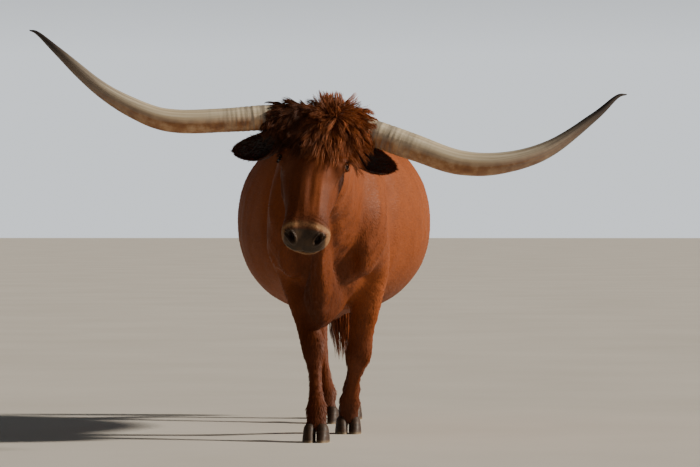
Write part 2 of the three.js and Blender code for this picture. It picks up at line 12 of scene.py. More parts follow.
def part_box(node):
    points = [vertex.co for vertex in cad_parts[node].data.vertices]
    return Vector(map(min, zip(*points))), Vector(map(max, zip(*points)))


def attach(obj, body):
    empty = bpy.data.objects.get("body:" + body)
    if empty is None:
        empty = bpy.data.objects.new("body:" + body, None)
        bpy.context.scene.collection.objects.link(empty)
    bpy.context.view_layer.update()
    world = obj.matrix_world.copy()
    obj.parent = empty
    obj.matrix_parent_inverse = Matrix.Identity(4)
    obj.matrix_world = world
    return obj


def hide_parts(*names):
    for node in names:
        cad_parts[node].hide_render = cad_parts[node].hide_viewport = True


bl_info = {
    "name": "Longhorn steer",
    "version": (1, 0, 0),
    "blender": (4, 5, 0),
    "location": "3D View > Sidebar > Steer",
    "description": "Builds a life-size longhorn steer over its solid model",
    "category": "Add Mesh",
}

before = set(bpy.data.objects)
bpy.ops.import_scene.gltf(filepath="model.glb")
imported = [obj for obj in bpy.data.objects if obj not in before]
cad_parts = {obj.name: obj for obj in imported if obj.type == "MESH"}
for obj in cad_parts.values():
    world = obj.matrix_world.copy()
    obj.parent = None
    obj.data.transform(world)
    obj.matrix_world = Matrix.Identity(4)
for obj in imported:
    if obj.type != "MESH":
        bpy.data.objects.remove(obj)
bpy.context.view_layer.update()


# Placing the head: its own frame runs +Y from muzzle to poll and +Z out of the forehead, in metres

HEAD_TURN = (
    Quaternion((0, 1, 0), math.radians(6.2))
    @ Quaternion((0, 0, 1), math.radians(1.5))
    @ Quaternion((1, 0, 0), math.radians(62))
)
HEAD_AT = Vector((-0.004, -0.852, 1.265))
EYE_LOCAL = (0.114, -0.170, -0.048)


def solid_shift():
    """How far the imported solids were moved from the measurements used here."""
    low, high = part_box("eye_right")
    x, y, z = EYE_LOCAL
    expected = HEAD_TURN @ Vector((-x, y, z)) + HEAD_AT
    return (low + high) / 2 - expected


SHIFT = np.array(solid_shift())
SHIFT[2] = 0.0
HEAD_MATRIX = np.array(HEAD_TURN.to_matrix())
HEAD_ORIGIN = np.array(HEAD_AT)


def head_to_body(points):
    return np.asarray(points, float) @ HEAD_MATRIX.T + HEAD_ORIGIN


def body_to_head(points):
    return (np.asarray(points, float) - HEAD_ORIGIN) @ HEAD_MATRIX


# Small mesh tools


def placed(name, data):
    """An object for a mesh, lamp or camera, linked to the scene."""
    made = bpy.data.objects.new(name, data)
    bpy.context.collection.objects.link(made)
    return made


def make_object(name, verts, faces):
    mesh = bpy.data.meshes.new(name)
    mesh.from_pydata([tuple(v) for v in verts], [], [tuple(f) for f in faces])
    mesh.update()
    mesh.polygons.foreach_set("use_smooth", [True] * len(mesh.polygons))
    return placed(name, mesh)


def fast_object(name, verts, faces):
    """An object from arrays of points and of faces that all have as many corners."""
    mesh = bpy.data.meshes.new(name)
    mesh.vertices.add(len(verts))
    mesh.vertices.foreach_set("co", np.ascontiguousarray(verts, np.float32).ravel())
    mesh.loops.add(faces.size)
    mesh.loops.foreach_set("vertex_index", np.ascontiguousarray(faces, np.int32).ravel())
    mesh.polygons.add(len(faces))
    mesh.polygons.foreach_set("loop_start", np.arange(len(faces), dtype=np.int32) * faces.shape[1])
    mesh.polygons.foreach_set("use_smooth", np.full(len(faces), True))
    mesh.update(calc_edges=True)
    return placed(name, mesh)


def read(items, field, width=3, kind=np.float32):
    """One field of all the items of a mesh, as rows of width numbers."""
    out = np.empty(len(items) * width, kind)
    items.foreach_get(field, out)
    return out.reshape(-1, width)


def points_of(mesh):
    return read(mesh.vertices, "co").astype(float)


def normals_of(mesh):
    return read(mesh.vertex_normals, "vector").astype(float)


def edges_of(mesh):
    return read(mesh.edges, "vertices", 2, np.int32)


def set_points(mesh, co):
    mesh.vertices.foreach_set("co", np.ascontiguousarray(co, np.float32).ravel())
    mesh.update()


def store(mesh, name, values, domain="POINT"):
    """Stores a number, a direction or a colour for each point or face of a mesh."""
    whole = values.dtype.kind == "i"
    wide = values.shape[1] if values.ndim == 2 else 1
    number = ("INT" if whole else "FLOAT", "value")
    kind, field = {1: number, 3: ("FLOAT_VECTOR", "vector"), 4: ("FLOAT_COLOR", "color")}[wide]
    values = np.ascontiguousarray(values, np.int32 if whole else np.float32)
    mesh.attributes.new(name, kind, domain).data.foreach_set(field, values.ravel())


def opaque(colour):
    return np.column_stack([colour, np.ones(len(colour))])


def unit(v):
    v = np.asarray(v, float)
    return v / np.maximum(np.linalg.norm(v, axis=-1, keepdims=True), 1e-9)


def mix(a, b, share):
    return a + (b - a) * share


def mirrored(points):
    """The same points, all brought to the left side."""
    return np.stack([np.abs(points[:, 0]), points[:, 1], points[:, 2]], 1)


def circle(sides):
    """Cosines and sines of even steps round a circle."""
    angle = np.arange(sides) / sides * 2 * math.pi
    return np.cos(angle), np.sin(angle)


def bell(x, width):
    """1 at 0, falling smoothly to nothing at about twice the width."""
    return np.exp(-((x / width) ** 2))


def step(low, high, x):
    """0 at low and 1 at high, smooth between them; low may be the greater."""
    t = np.clip((x - low) / (high - low), 0, 1)
    return t * t * (3 - 2 * t)


def bump_at(points, centre, radii):
    """1 at centre, falling smoothly to 0 over the given reach along each axis."""
    d = (points - np.asarray(centre)) / np.asarray(radii)
    return np.exp(-np.sum(d * d, axis=1) * 2)


def spline(values, count):
    """A smooth curve through the rows of values, read at count even places."""
    values = np.asarray(values, float)
    padded = np.vstack([2 * values[0] - values[1], values, 2 * values[-1] - values[-2]])
    t = np.linspace(0, len(values) - 1, count)
    i = np.minimum(t.astype(int), len(values) - 2)
    f = (t - i)[:, None]
    a, b, c, d = padded[i], padded[i + 1], padded[i + 2], padded[i + 3]
    return 0.5 * (2 * b + (c - a) * f + (2 * a - 5 * b + 4 * c - d) * f**2 + (3 * b - a - 3 * c + d) * f**3)


def loft(rings):
    """Points and quads of a closed surface through rings, its ends closed by fans of thin quads."""
    rings = np.asarray(rings, float)
    count, sides = rings.shape[:2]
    verts = np.vstack([rings.reshape(-1, 3), rings[0].mean(0), rings[-1].mean(0)])
    j = np.arange(sides)
    k = (j + 1) % sides
    faces = []
    for i in range(count - 1):
        a, b = i * sides + j, i * sides + k
        faces.append(np.stack([a, a + sides, b + sides, b], 1))
    quads = np.vstack(faces)
    first, last = count * sides, count * sides + 1
    top = (count - 1) * sides
    caps = [(first, x, y) for x, y in zip(j, k)] + [(last, top + y, top + x) for x, y in zip(j, k)]
    return verts, [tuple(q) for q in quads] + caps


def limb(stations, rings=60, sides=48, domes=(0.02, 0.02)):
    """A trunk or leg through stations (x, y, z, side, up, down, power), in millimetres."""
    rows = spline(stations, rings)
    at = rows[:, :3] / 1000
    size = rows[:, 3:6] / 1000
    power = rows[:, 6]
    along = unit(np.gradient(at, axis=0))
    side = unit(np.array([1.0, 0, 0]) - along * along[:, :1])
    up = np.cross(side, along)
    c, s = circle(sides)

    def ring(i, scale, shift):
        px = np.sign(c) * np.abs(c) ** (2 / power[i]) * size[i, 0] * scale
        reach = np.where(s > 0, size[i, 1], size[i, 2]) * scale
        pz = np.sign(s) * np.abs(s) ** (2 / power[i]) * reach
        return at[i] + along[i] * shift + px[:, None] * side[i] + pz[:, None] * up[i]

    # Each end is rounded off by rings that shrink over its dome's height
    made = []
    for k in (0.96, 0.82, 0.6, 0.3):
        if domes[0]:
            made.append(ring(0, math.sqrt(1 - k * k), -k * domes[0] / 1000))
    made += [ring(i, 1, 0) for i in range(rings)]
    for k in (0.3, 0.6, 0.82, 0.96):
        if domes[1]:
            made.append(ring(rings - 1, math.sqrt(1 - k * k), k * domes[1] / 1000))
    return loft(made)


def globe(sides, rows, height=math.cos):
    """A ball of radius 1; height gives each ring's place on its axis, from the angle to the pole."""
    c, s = circle(sides)
    angles = np.linspace(0, math.pi, rows + 1)[1:-1]
    rings = [np.stack([c * math.sin(t), s * math.sin(t), np.full(sides, height(t))], 1) for t in angles]
    verts, faces = loft(rings)
    verts[-2:, 2] = height(0), height(math.pi)
    verts[-2:, :2] = 0
    return verts, faces


def turned(angles):
    """The matrix of three turns in radians, about x, then y, then z."""
    return np.array(Euler(angles, "ZYX").to_matrix())


def ball(at, radii, turn=(0, 0, 0)):
    """An ellipsoid, in millimetres."""
    verts, faces = globe(32, 20)
    return verts * (np.asarray(radii) / 1000) @ turned(turn).T + np.asarray(at) / 1000, faces


def merge(parts):
    verts, faces, start = [], [], 0
    for v, f in parts:
        verts.append(v)
        faces += [tuple(int(i) + start for i in face) for face in f]
        start += len(v)
    return np.vstack(verts), faces


def neighbour_mean(co, edges, rounds, weight, keep=0.0):
    """Smooths points along their edges: weight is how far each moves, keep puts back some of it."""
    a, b = edges[:, 0], edges[:, 1]
    count = np.bincount(a, minlength=len(co)) + np.bincount(b, minlength=len(co))
    count = np.maximum(count, 1)[:, None]
    weight = np.asarray(weight).reshape(-1, 1) * np.ones((len(co), 1))

    def mean(p):
        out = np.empty_like(p)
        for axis in range(3):
            out[:, axis] = np.bincount(a, p[b, axis], len(p)) + np.bincount(b, p[a, axis], len(p))
        return out / count

    for _ in range(rounds):
        co = co + (mean(co) - co) * weight
        if keep:
            co = co - (mean(co) - co) * weight * keep
    return co


# Value noise over space, the same each run, for folds and colour


def noise(points, scale, seed=0):
    """Smooth noise from -1 to 1 over space, with features about scale metres across."""
    p = np.asarray(points, float) / scale + seed * 17.31
    i = np.floor(p).astype(np.int64)
    f = p - i
    f = f * f * (3 - 2 * f)
    total = np.zeros(len(p))
    for corner in itertools.product((0, 1), repeat=3):
        # Large odd factors mix the corner's place into a whole number, whose remainder is the noise there
        x, y, z = (i + corner).T
        h = x * 73856093 ^ y * 19349663 ^ z * 83492791 ^ seed * 2654435
        h = (h ^ (h >> 13)) * 1274126177 & 0x7FFFFFFF
        value = (h % 10007) / 5003.5 - 1
        total += value * np.prod(np.where(corner, f, 1 - f), axis=1)
    return total


# The animal's measurements: stations of trunk, neck, dewlap, legs, tail and head, in millimetres


def across(y, top, bottom, side, middle, power):
    return (0, y, middle, side, top - middle, middle - bottom, power)


TRUNK = [
    across(-150, 1180, 600, 150, 880, 2.1),
    across(-40, 1290, 545, 196, 870, 2.05),
    across(60, 1310, 530, 228, 860, 2.0),
    across(220, 1294, 515, 300, 860, 2.05),
    across(400, 1284, 496, 376, 868, 2.1),
    across(620, 1272, 484, 412, 868, 2.15),
    across(830, 1280, 510, 384, 882, 2.15),
    across(1010, 1297, 590, 318, 930, 2.2),
    across(1180, 1297, 690, 268, 980, 2.3),
    across(1300, 1267, 790, 216, 1020, 2.3),
]
NECK = [
    (0, 60, 960, 176, 340, 300, 2.0),
    (0, -190, 985, 160, 288, 270, 2.0),
    (0, -400, 1045, 128, 216, 226, 2.05),
    (-2, -590, 1110, 106, 158, 168, 2.1),
    (-4, -740, 1165, 96, 112, 130, 2.1),
    (-5, -815, 1190, 88, 82, 92, 2.1),
]
DEWLAP = [
    (-4, -700, 1050, 26, 60, 40, 2),
    (-4, -560, 930, 28, 90, 66, 2),
    (-6, -430, 800, 30, 110, 84, 1.8),
    (-12, -330, 680, 44, 120, 106, 1.6),
    (-16, -215, 590, 66, 120, 130, 1.45),
    (-10, -60, 565, 86, 110, 92, 1.7),
    (0, 120, 585, 96, 90, 60, 2),
]
TAIL = [
    (0, 1180, 1250, 60, 36, 50, 2),
    (0, 1310, 1262, 48, 30, 44, 2),
    (0, 1398, 1240, 36, 28, 32, 2),
    (3, 1440, 1160, 26, 22, 25, 2),
    (7, 1452, 1030, 20, 17, 19, 2),
    (11, 1456, 880, 17, 14, 15, 2),
    (15, 1458, 740, 14, 12, 12, 2),
    (18, 1458, 596, 12, 10, 10, 2),
]


def head_station(y, top, bottom, side, power=2.2, middle=0.5):
    z = bottom + (top - bottom) * middle
    return (0, y, z, side, top - z, z - bottom, power)


HEAD = [
    head_station(-517, -62, -108, 50, 2.3),
    head_station(-503, -44, -122, 70, 2.5),
    head_station(-480, -24, -132, 84, 2.6),
    head_station(-450, -10, -137, 86, 2.5),
    head_station(-415, -6, -140, 84, 2.3),
    head_station(-370, -8, -150, 87, 2.2),
    head_station(-310, -6, -172, 96, 2.2),
    head_station(-250, -2, -196, 107, 2.3),
    head_station(-190, 2, -214, 114, 2.4, 0.55),
    head_station(-130, 6, -220, 120, 2.5, 0.58),
    head_station(-70, 8, -208, 119, 2.5, 0.6),
    head_station(-10, 6, -178, 120, 2.4, 0.6),
    head_station(45, -14, -140, 98, 2.2, 0.5),
]

# Joints from elbow or stifle to toe, how stout the leg is, and how far the foot turns, in radians
LEGS = {
    name: {"side": side, "build": build, "turn": turn, "joints": joints}
    for name, side, build, turn, *joints in (
        ("fore_right", -1, 1.0, -0.05, (-144, -10, 690), (-52, -150, 372), (-36, -262, 132), (-36, -300, 40)),
        ("fore_left", 1, 1.12, 0.06, (172, 40, 680), (122, 72, 340), (80, 222, 134), (74, 236, 40)),
        ("hind_right", -1, 1.0, -0.04, (-190, 960, 740), (-84, 1130, 480), (-44, 962, 134), (-40, 920, 40)),
        ("hind_left", 1, 1.0, 0.04, (186, 990, 735), (98, 1318, 486), (56, 1262, 134), (50, 1232, 40)),
    )
}


def between(a, b, t, dy=0.0):
    return (a[0] + (b[0] - a[0]) * t, a[1] + (b[1] - a[1]) * t + dy, a[2] + (b[2] - a[2]) * t)


def leg_rows(name):
    leg = LEGS[name]
    side, build = leg["side"], leg["build"]
    top, mid, fetlock, foot = leg["joints"]
    ankle = [
        (*fetlock, 46, 42, 36, 2.2),
        (*between(fetlock, foot, 0.45), 41, 35, 32, 2.2),
        (*between(fetlock, foot, 0.9), 46, 42, 40, 2.3),
    ]
    if name.startswith("fore"):
        return [
            (side * 160, -124, 852, 84, 120, 112, 2),
            ((side * 164 + top[0]) / 2, -124 + (top[1] + 124) * 0.62, 768, 82, 112, 108, 2),
            (*top, 70 * build, 84, 76, 2),
            (*between(top, mid, 0.35), 60 * build, 62, 60, 2),
            (*between(top, mid, 0.75), 49 * build, 43, 45, 2),
            (*between(top, mid, 0.9), 50 * build, 40, 46, 2.2),
            (*mid, 51 * build, 41, 48, 2.4),
            (*between(mid, fetlock, 0.14), 47 * build, 37, 42, 2.4),
            (*between(mid, fetlock, 0.3), 36 * build, 31, 31, 2.2),
            (*between(mid, fetlock, 0.6), 30, 30, 27, 2),
            (*between(mid, fetlock, 0.85), 35, 36, 30, 2),
            *ankle,
        ]
    return [
        (side * 132, 1172, 1120, 104, 206, 190, 2),
        (side * 150 * 0.4 + top[0] * 0.6, 1168, 930, 112, 222, 190, 2),
        (top[0], (1150 + top[1]) / 2 + 40, top[2] + 40, 96, 205, 160, 2),
        (*between(top, mid, 0.32, 52), 72, 142, 96, 2),
        (*between(top, mid, 0.62, 30), 52, 88, 56, 2),
        (*between(top, mid, 0.85, 8), 42, 60, 42, 2),
        (*mid, 43, 54, 44, 2.2),
        (*between(mid, fetlock, 0.2), 37, 38, 38, 2.2),
        (*between(mid, fetlock, 0.6), 31, 30, 30, 2),
        (*between(mid, fetlock, 0.88), 36, 36, 31, 2),
        *ankle,
    ]


def flesh_forms():
    """Every form of the flesh, overlapping, before it is made one skin."""
    parts = [
        limb(TRUNK, 90, 96, (80, 95)),
        limb(NECK, 60, 64, (60, 30)),
        limb(DEWLAP, 60, 40, (26, 60)),
        limb(TAIL, 90, 24, (30, 8)),
    ]
    for side in (-1, 1):
        parts.append(limb([
            (side * 96, 60, 1235, 56, 92, 92, 2),
            (side * 140, -20, 1080, 84, 140, 134, 2),
            (side * 152, -92, 930, 92, 150, 140, 2),
            (side * 148, -124, 820, 82, 128, 124, 2),
            (side * 130, -124, 700, 60, 92, 90, 2),
        ], 40, 40, (40, 50)))
        parts.append(ball((side * 190, 1016, 1188), (72, 128, 74), (0, side * 0.4, side * 0.1)))
        parts.append(ball((side * 84, 1340, 1130), (64, 66, 96)))
    parts.append(ball((0, 1352, 1182), (44, 58, 66)))
    for name in LEGS:
        parts.append(limb(leg_rows(name), 110, 36, (50, 8)))
    head = [limb(HEAD, 80, 64, (8, 34))]
    for side in (-1, 1):
        head.append(ball((side * 96, -162, -40), (44, 54, 36), (0, side * 0.35, side * -0.15)))
        head.append(ball((side * 80, -160, -140), (44, 88, 70)))
        head.append(ball((side * 112, -4, -48), (76, 58, 56), (0, 0, side * -0.08)))
    verts, faces = merge(head)
    parts.append((head_to_body(verts), faces))
    return merge(parts)


def voxel_mesh(made, size):
    modifier = made.modifiers.new("remesh", "REMESH")
    modifier.mode = "VOXEL"
    modifier.voxel_size = size
    modifier.adaptivity = 0
    graph = bpy.context.evaluated_depsgraph_get()
    mesh = bpy.data.meshes.new_from_object(made.evaluated_get(graph))
    made.modifiers.remove(modifier)
    old = made.data
    made.data = mesh
    bpy.data.meshes.remove(old)
    return made


def refine(mesh, near):
    """Splits the faces whose middle is near into smaller ones, joined to the rest without gaps."""
    co = points_of(mesh)
    chosen = near(co)
    work = bmesh.new()
    work.from_mesh(mesh)
    work.verts.ensure_lookup_table()
    edges = [e for e in work.edges if chosen[e.verts[0].index] and chosen[e.verts[1].index]]
    bmesh.ops.subdivide_edges(work, edges=edges, cuts=1, use_grid_fill=True)
    work.to_mesh(mesh)
    work.free()
    mesh.update()


# Sculpting: dents, folds and rims laid over the smooth forms

# The eye and its lids, in metres, and how many hairs there are on the lids and on an ear
EYE_RADIUS = 0.0205
CORNEA = 0.0016
LID_THICKNESS = 0.0030
IRIS_REACH = 0.0155
LID_HALF = 0.0200
UPPER_LID = 0.0158
LOWER_LID = 0.0118
LASHES = 130
EAR_HAIRS = 1700


def eye_axes(side):
    """Centre, outward look, corner-to-corner and upward directions of an eye, in the head's frame."""
    look = unit([side * 0.86, 0.0, 0.5])
    long = np.array([0, -0.469, 0.883])
    long = unit(long - look * (long @ look))
    up = unit(np.cross(long, look)) * side
    if up[1] < 0:
        up = -up
    x, y, z = EYE_LOCAL
    return np.array([side * x, y, z]), look, long, up


def eye_place(h, side):
    """Places from an eye's centre: from corner to corner, upward, and out of the eye."""
    centre, look, long, up = eye_axes(side)
    d = h - centre
    return d @ long, d @ up, d @ look


def mouth_height(y):
    return -0.098 - 0.1 * (y + 0.45)


def lip_line(h, width):
    """1 on the line of the mouth, fading over width above and below it and at its corner."""
    return bell(h[:, 2] - mouth_height(h[:, 1]), width) * step(-0.365, -0.385, h[:, 1])


def nostril(h, side, at, turn, radii):
    """How far points lie from a hollow of the nostril, which ends at about 1."""
    x, y, z = at
    q = (h - np.array([side * x, y, z])) @ turned((turn[0], side * turn[1], side * turn[2]))
    return np.linalg.norm(q / np.array(radii), axis=1)


# Middle of the left nostril, in the head's frame
NOSTRIL = (0.05, -0.494, -0.037)

# Height, centre and reach of the slight forms, the same on both sides; the head's are in its own frame
HEAD_RELIEF = [
    # Hollows: temple, tear bone, side of the nose, between the nasal bones
    (-0.007, (0.1, -0.1, -0.02), (0.045, 0.05, 0.04)),
    (-0.006, (0.086, -0.245, -0.03), (0.035, 0.06, 0.04)),
    (-0.004, (0.085, -0.36, -0.06), (0.04, 0.08, 0.05)),
    (-0.005, (0.0, -0.3, 0.0), (0.02, 0.12, 0.04)),
    # Ridges: brow, edge of the nasal bones, cheek crest, upper lip pad, chin
    (0.007, (0.098, -0.145, -0.012), (0.035, 0.03, 0.03)),
    (0.004, (0.04, -0.33, -0.004), (0.014, 0.12, 0.03)),
    (0.006, (0.105, -0.27, -0.11), (0.04, 0.1, 0.018)),
    (0.007, (0.07, -0.455, -0.07), (0.05, 0.05, 0.028)),
    (0.006, (0.0, -0.48, -0.128), (0.06, 0.045, 0.02)),
]
BODY_RELIEF = [
    # Flank hollow, behind the shoulder, base of the neck, front of the thigh
    (-0.022, (0.27, 0.9, 1.13), (0.12, 0.13, 0.1)),
    (-0.02, (0.25, 0.13, 0.92), (0.12, 0.06, 0.3)),
    (-0.012, (0.14, -0.27, 1.02), (0.08, 0.07, 0.2)),
    (-0.01, (0.2, 1.02, 0.84), (0.12, 0.05, 0.16)),
    # Elbow, hip, and the two muscles of the buttock with the furrow between them
    (0.012, (0.2, -0.02, 0.78), (0.08, 0.1, 0.12)),
    (0.012, (0.26, 1.08, 1.0), (0.1, 0.14, 0.16)),
    (-0.012, (0.2, 1.25, 0.95), (0.1, 0.05, 0.25)),
    (0.01, (0.2, 1.33, 0.98), (0.1, 0.06, 0.2)),
]


def sculpt_head(h, n):
    """New places for the head's points h, whose outward directions are n, all in the head's frame."""
    move = np.zeros(len(h))
    m = mirrored(h)
    x = m[:, 0]
    for height, centre, reach in HEAD_RELIEF:
        move += height * bump_at(m, centre, reach)
    # Folds of skin above the muzzle and under the eye
    for height, slant, often, centre, reach in (
        (0.0016, 0.3, 420, (0.055, -0.425, -0.05), (0.05, 0.035, 0.06)),
        (0.0015, -0.6, 520, (0.118, -0.215, -0.065), (0.03, 0.03, 0.03)),
    ):
        move += height * np.sin((h[:, 1] + slant * x) * often) * bump_at(m, centre, reach)
    # Mouth line with a fuller lower lip
    near_lip = h[:, 2] - mouth_height(h[:, 1])
    run = step(-0.365, -0.385, h[:, 1])
    for height, above, width in ((-0.0085, 0, 0.0035), (0.003, -0.011, 0.007), (0.0025, 0.012, 0.008)):
        move += height * bell(near_lip - above, width) * run
    # Groove down the middle of the upper lip
    move -= 0.003 * bell(h[:, 0], 0.004) * step(-0.49, -0.51, h[:, 1]) * step(-0.11, -0.08, h[:, 2])
    # Nostrils: a comma with a raised rim
    for side in (-1, 1):
        hole = nostril(h, side, NOSTRIL, (0.5, 0.35, -0.5), (0.0105, 0.021, 0.03))
        slit = nostril(h, side, (0.066, -0.483, -0.05), (0.4, 0.0, -0.7), (0.005, 0.016, 0.02))
        move -= 0.02 * (1 - step(0.55, 1.15, hole)) + 0.008 * (1 - step(0.5, 1.2, slit))
        move += 0.0032 * bell(np.minimum(hole, slit) - 1.35, 0.3)
    out = h + n * move[:, None]
    # Eyes: lids wrap the ball, and the skin dives behind it inside the almond opening
    for side in (-1, 1):
        centre = eye_axes(side)[0]
        a, b, c = eye_place(out, side)
        flat = np.hypot(a / 1.15, b)
        facing = c > -0.012
        lid = (1 - step(0.021, 0.04, flat)) * facing
        radial = unit(out - centre)
        swell = EYE_RADIUS + LID_THICKNESS
        length = np.linalg.norm(out - centre, axis=1)
        grown = centre + radial * np.maximum(swell, np.minimum(length, swell + 0.004))[:, None]
        out = mix(out, grown, lid[:, None])
        opening = almond(a, b)
        inside = (1 - step(0.9, 1.06, opening)) * facing
        sunk = centre + radial * (EYE_RADIUS - 0.007)
        rim = bell(opening - 1.2, 0.14) * (flat < 0.034)
        crease = bell(opening - 1.75, 0.2) * (flat < 0.045)
        out = out + radial * ((0.0022 * rim - 0.0028 * crease) * facing)[:, None]
        out = mix(out, sunk, inside[:, None])
    return out


def almond(a, b):
    """1 on the rim of the eye's opening, less inside it; a runs from corner to corner, b upward."""
    along = np.abs(a) / LID_HALF
    arch = np.where(b > 0, UPPER_LID, LOWER_LID) * np.maximum(1 - along**2.2, 1e-4) ** 0.75
    return np.maximum(along, np.abs(b) / np.maximum(arch, 1e-4))


def sculpt_body(co, n):
    """Hollows, ribs, folds and tendons of trunk, neck and legs."""
    x, y, z = co.T
    m = mirrored(co)
    move = np.zeros(len(co))
    for height, centre, reach in BODY_RELIEF:
        move += height * bump_at(m, centre, reach)
    ribs = bump_at(m, (0.4, 0.5, 0.95), (0.2, 0.42, 0.35))
    move += 0.0013 * np.sin((y + (z - 0.9) * 0.28) * 2 * math.pi / 0.074) * ribs
    # Skin folds on neck, throat and dewlap run down and back
    low_neck = step(0.02, -0.2, y) * step(1.2, 0.85, z) * step(0.42, 0.5, z)
    along = np.stack([x, y * 0.93 - z * 0.36, (y * 0.36 + z * 0.93) * 0.16], 1)
    move += 0.0085 * noise(along, 0.05, 3) * low_neck
    move += 0.003 * noise(along, 0.022, 4) * low_neck
    rings = np.stack([x * 0.25, y * 0.94 + z * 0.34, (z * 0.94 - y * 0.34) * 0.2], 1)
    upper_neck = step(-0.15, -0.35, y) * step(-0.78, -0.68, y) * step(0.8, 0.95, z)
    move += 0.004 * noise(rings, 0.06, 5) * upper_neck
    move += 0.0028 * noise(along, 0.034, 7) * step(0.12, -0.1, y) * step(-0.76, -0.66, y)
    # Slow unevenness of muscle and fat everywhere, the fold under the belly, and creases at elbow and flank
    move += 0.003 * noise(co, 0.16, 1) + 0.001 * noise(co, 0.06, 2)
    move += 0.028 * bump_at(m, (0.0, 0.64, 0.48), (0.05, 0.11, 0.06))
    creases = bump_at(m, (0.17, 0.08, 0.66), (0.1, 0.08, 0.12))
    creases += bump_at(m, (0.2, 0.93, 0.74), (0.1, 0.1, 0.14))
    move += 0.0035 * noise(np.stack([x * 0.3, y, z * 0.3], 1), 0.02, 6) * creases
    return co + n * move[:, None]


def head_weight(co):
    """1 on the head, 0 on the neck and body."""
    h = body_to_head(co)
    # A slanting plane behind jaw and poll parts them
    behind = h[:, 1] * 0.827 - (h[:, 2] + 0.15) * 0.564
    return (1 - step(-0.05, 0.03, behind)) * step(0.55, 0.75, co[:, 2]) * step(-0.68, -0.74, co[:, 1])


# Colours: sRGB hex to linear, and where each shade of the coat lies


def linear(hex_code):
    values = [int(hex_code[i : i + 2], 16) / 255 for i in (1, 3, 5)]
    return [v / 12.92 if v <= 0.04045 else ((v + 0.055) / 1.055) ** 2.4 for v in values]


# Each colour's default, its label and what it is for; the settings hold the colours that are used
SHADES = {
    "red": ("#86451F", "Coat", "Main red-brown of the coat"),
    # Also laid on as a painted sunlit strip beside the nasal ridge
    "bright": ("#99522A", "Coat, bright", "Brighter patches, most on the barrel"),
    "deep": ("#54270F", "Coat, deep", "Deeper brown of neck, legs and face"),
    # Also laid on as painted shade, on the face's right half and under the brisket
    "dark": ("#33170B", "Coat, dark", "Darkest hair: pasterns, chest, round the eyes"),
    "soot": ("#22130E", "Bare skin", "Lid rims, lips and nostrils"),
    "pad": ("#3C2F24", "Nose pad", "Moist pad between the nostrils"),
    "tan": ("#A87F58", "Muzzle band", "Pale hair round the nose pad"),
    "pink": ("#5C442E", "Nose pad, warm", "Warmer patches of the nose pad"),
    "ivory": ("#D9CDB4", "Horn", "Clean horn sheath"),
    # On the horns' underside this stain is partly painted shade
    "amber": ("#A9743F", "Horn stain", "Stain on the underside of the horns"),
    "tip": ("#2B221D", "Horn tip", "Dark, polished tips of the horns"),
    "hoof": ("#3E2A1C", "Hooves", "Wall of the hooves"),
}


def shade(name):
    """A colour of the settings, as linear RGB."""
    return np.array(getattr(bpy.context.scene.steer_colours, name))


def markings(co):
    """The coat's colour at each point of the build frame, as linear RGB, with painted light and shade on the
    face and brisket.
    """
    h = body_to_head(co)
    y, z = co.T[1:]
    m = mirrored(co)
    head = head_weight(co)
    hx, hy, hz = mirrored(h).T
    patch = noise(co, 0.22, 11) * 0.5 + noise(co, 0.07, 12) * 0.3
    barrel = bump_at(m, (0.42, 0.6, 0.95), (0.25, 0.6, 0.35))
    chest = bump_at(m, (0.0, -0.2, 0.56), (0.16, 0.3, 0.26))
    cheek = bump_at(mirrored(h), (0.09, -0.2, -0.03), (0.05, 0.08, 0.05))
    # A lighter strip just left of the nasal ridge (+x), on the side towards the key light: a painted sunlit
    # strip
    ridge = bump_at(h, (0.03, -0.31, 0.0), (0.03, 0.14, 0.05))
    # Muzzle: a pale band behind a bare grey pad, dark inside the nostrils and along the lips
    band = bell(hy + 0.447 + 0.1 * hx, 0.011) * (0.35 + 0.65 * step(0.015, 0.05, hx))
    flank = step(0.068, 0.082, hx) * step(-0.435, -0.46, hy) * step(-0.02, -0.045, hz)
    lower = step(mouth_height(hy) + 0.003, mouth_height(hy) - 0.005, hz) * step(-0.40, -0.46, hy)
    pale = np.maximum(np.maximum(band, flank * 0.8), lower * 0.7)
    pad = nose_pad(h)
    on_body = [
        ("bright", 0.35 + patch * 0.5),
        ("bright", barrel * 0.5),
        # Darker on the legs, under the belly and on the neck
        ("deep", step(0.62, 0.3, z) * 0.75),
        ("dark", step(0.2, 0.07, z) * 0.55),
        ("deep", step(0.05, -0.3, y) * 0.55 * step(1.15, 0.75, z)),
        # The brisket: darker hair, and painted shade under it
        ("deep", chest * 0.8),
        ("dark", chest * 0.25),
    ]
    on_head = [
        ("deep", 0.4 + 0.3 * step(-0.25, -0.45, hy)),
        # Painted shade: the face's right half (-x), away from the key light, darker, fading out towards the
        # muzzle
        ("dark", 0.45 * step(0.05, -0.03, h[:, 0]) * step(-0.44, -0.2, hy)),
        ("dark", 0.35 * cheek),
        # Painted sunlit strip beside the nasal ridge
        ("bright", ridge * 0.6),
        ("dark", 0.5 * step(-0.4, -0.44, hy) * step(0.05, 0.02, hx)),
        ("tan", pale * (0.8 + 0.25 * noise(co, 0.02, 13))),
        ("pad", pad),
        ("pink", pad * 0.35 * step(-0.2, 0.6, noise(co, 0.03, 14))),
        ("soot", lip_line(h, 0.005) * 0.85),
    ]
    for side in (-1, 1):
        away = (h - np.array(NOSTRIL) * (side, 1, 1)) / (0.014, 0.02, 0.02)
        on_head.append(("soot", np.exp(-np.sum(away**2, 1)) * 1.2))
        a, b, out = eye_place(h, side)
        on_head.append(("soot", bell(np.maximum(almond(a, b) - 1, 0), 0.28) * (out > 0) * 0.95))
    colour = np.tile(shade("red"), (len(co), 1))
    for name, amount in on_body + [(name, amount * head) for name, amount in on_head]:
        colour = mix(colour, shade(name), np.clip(amount, 0, 1)[:, None])
    return np.clip(colour, 0, 1)


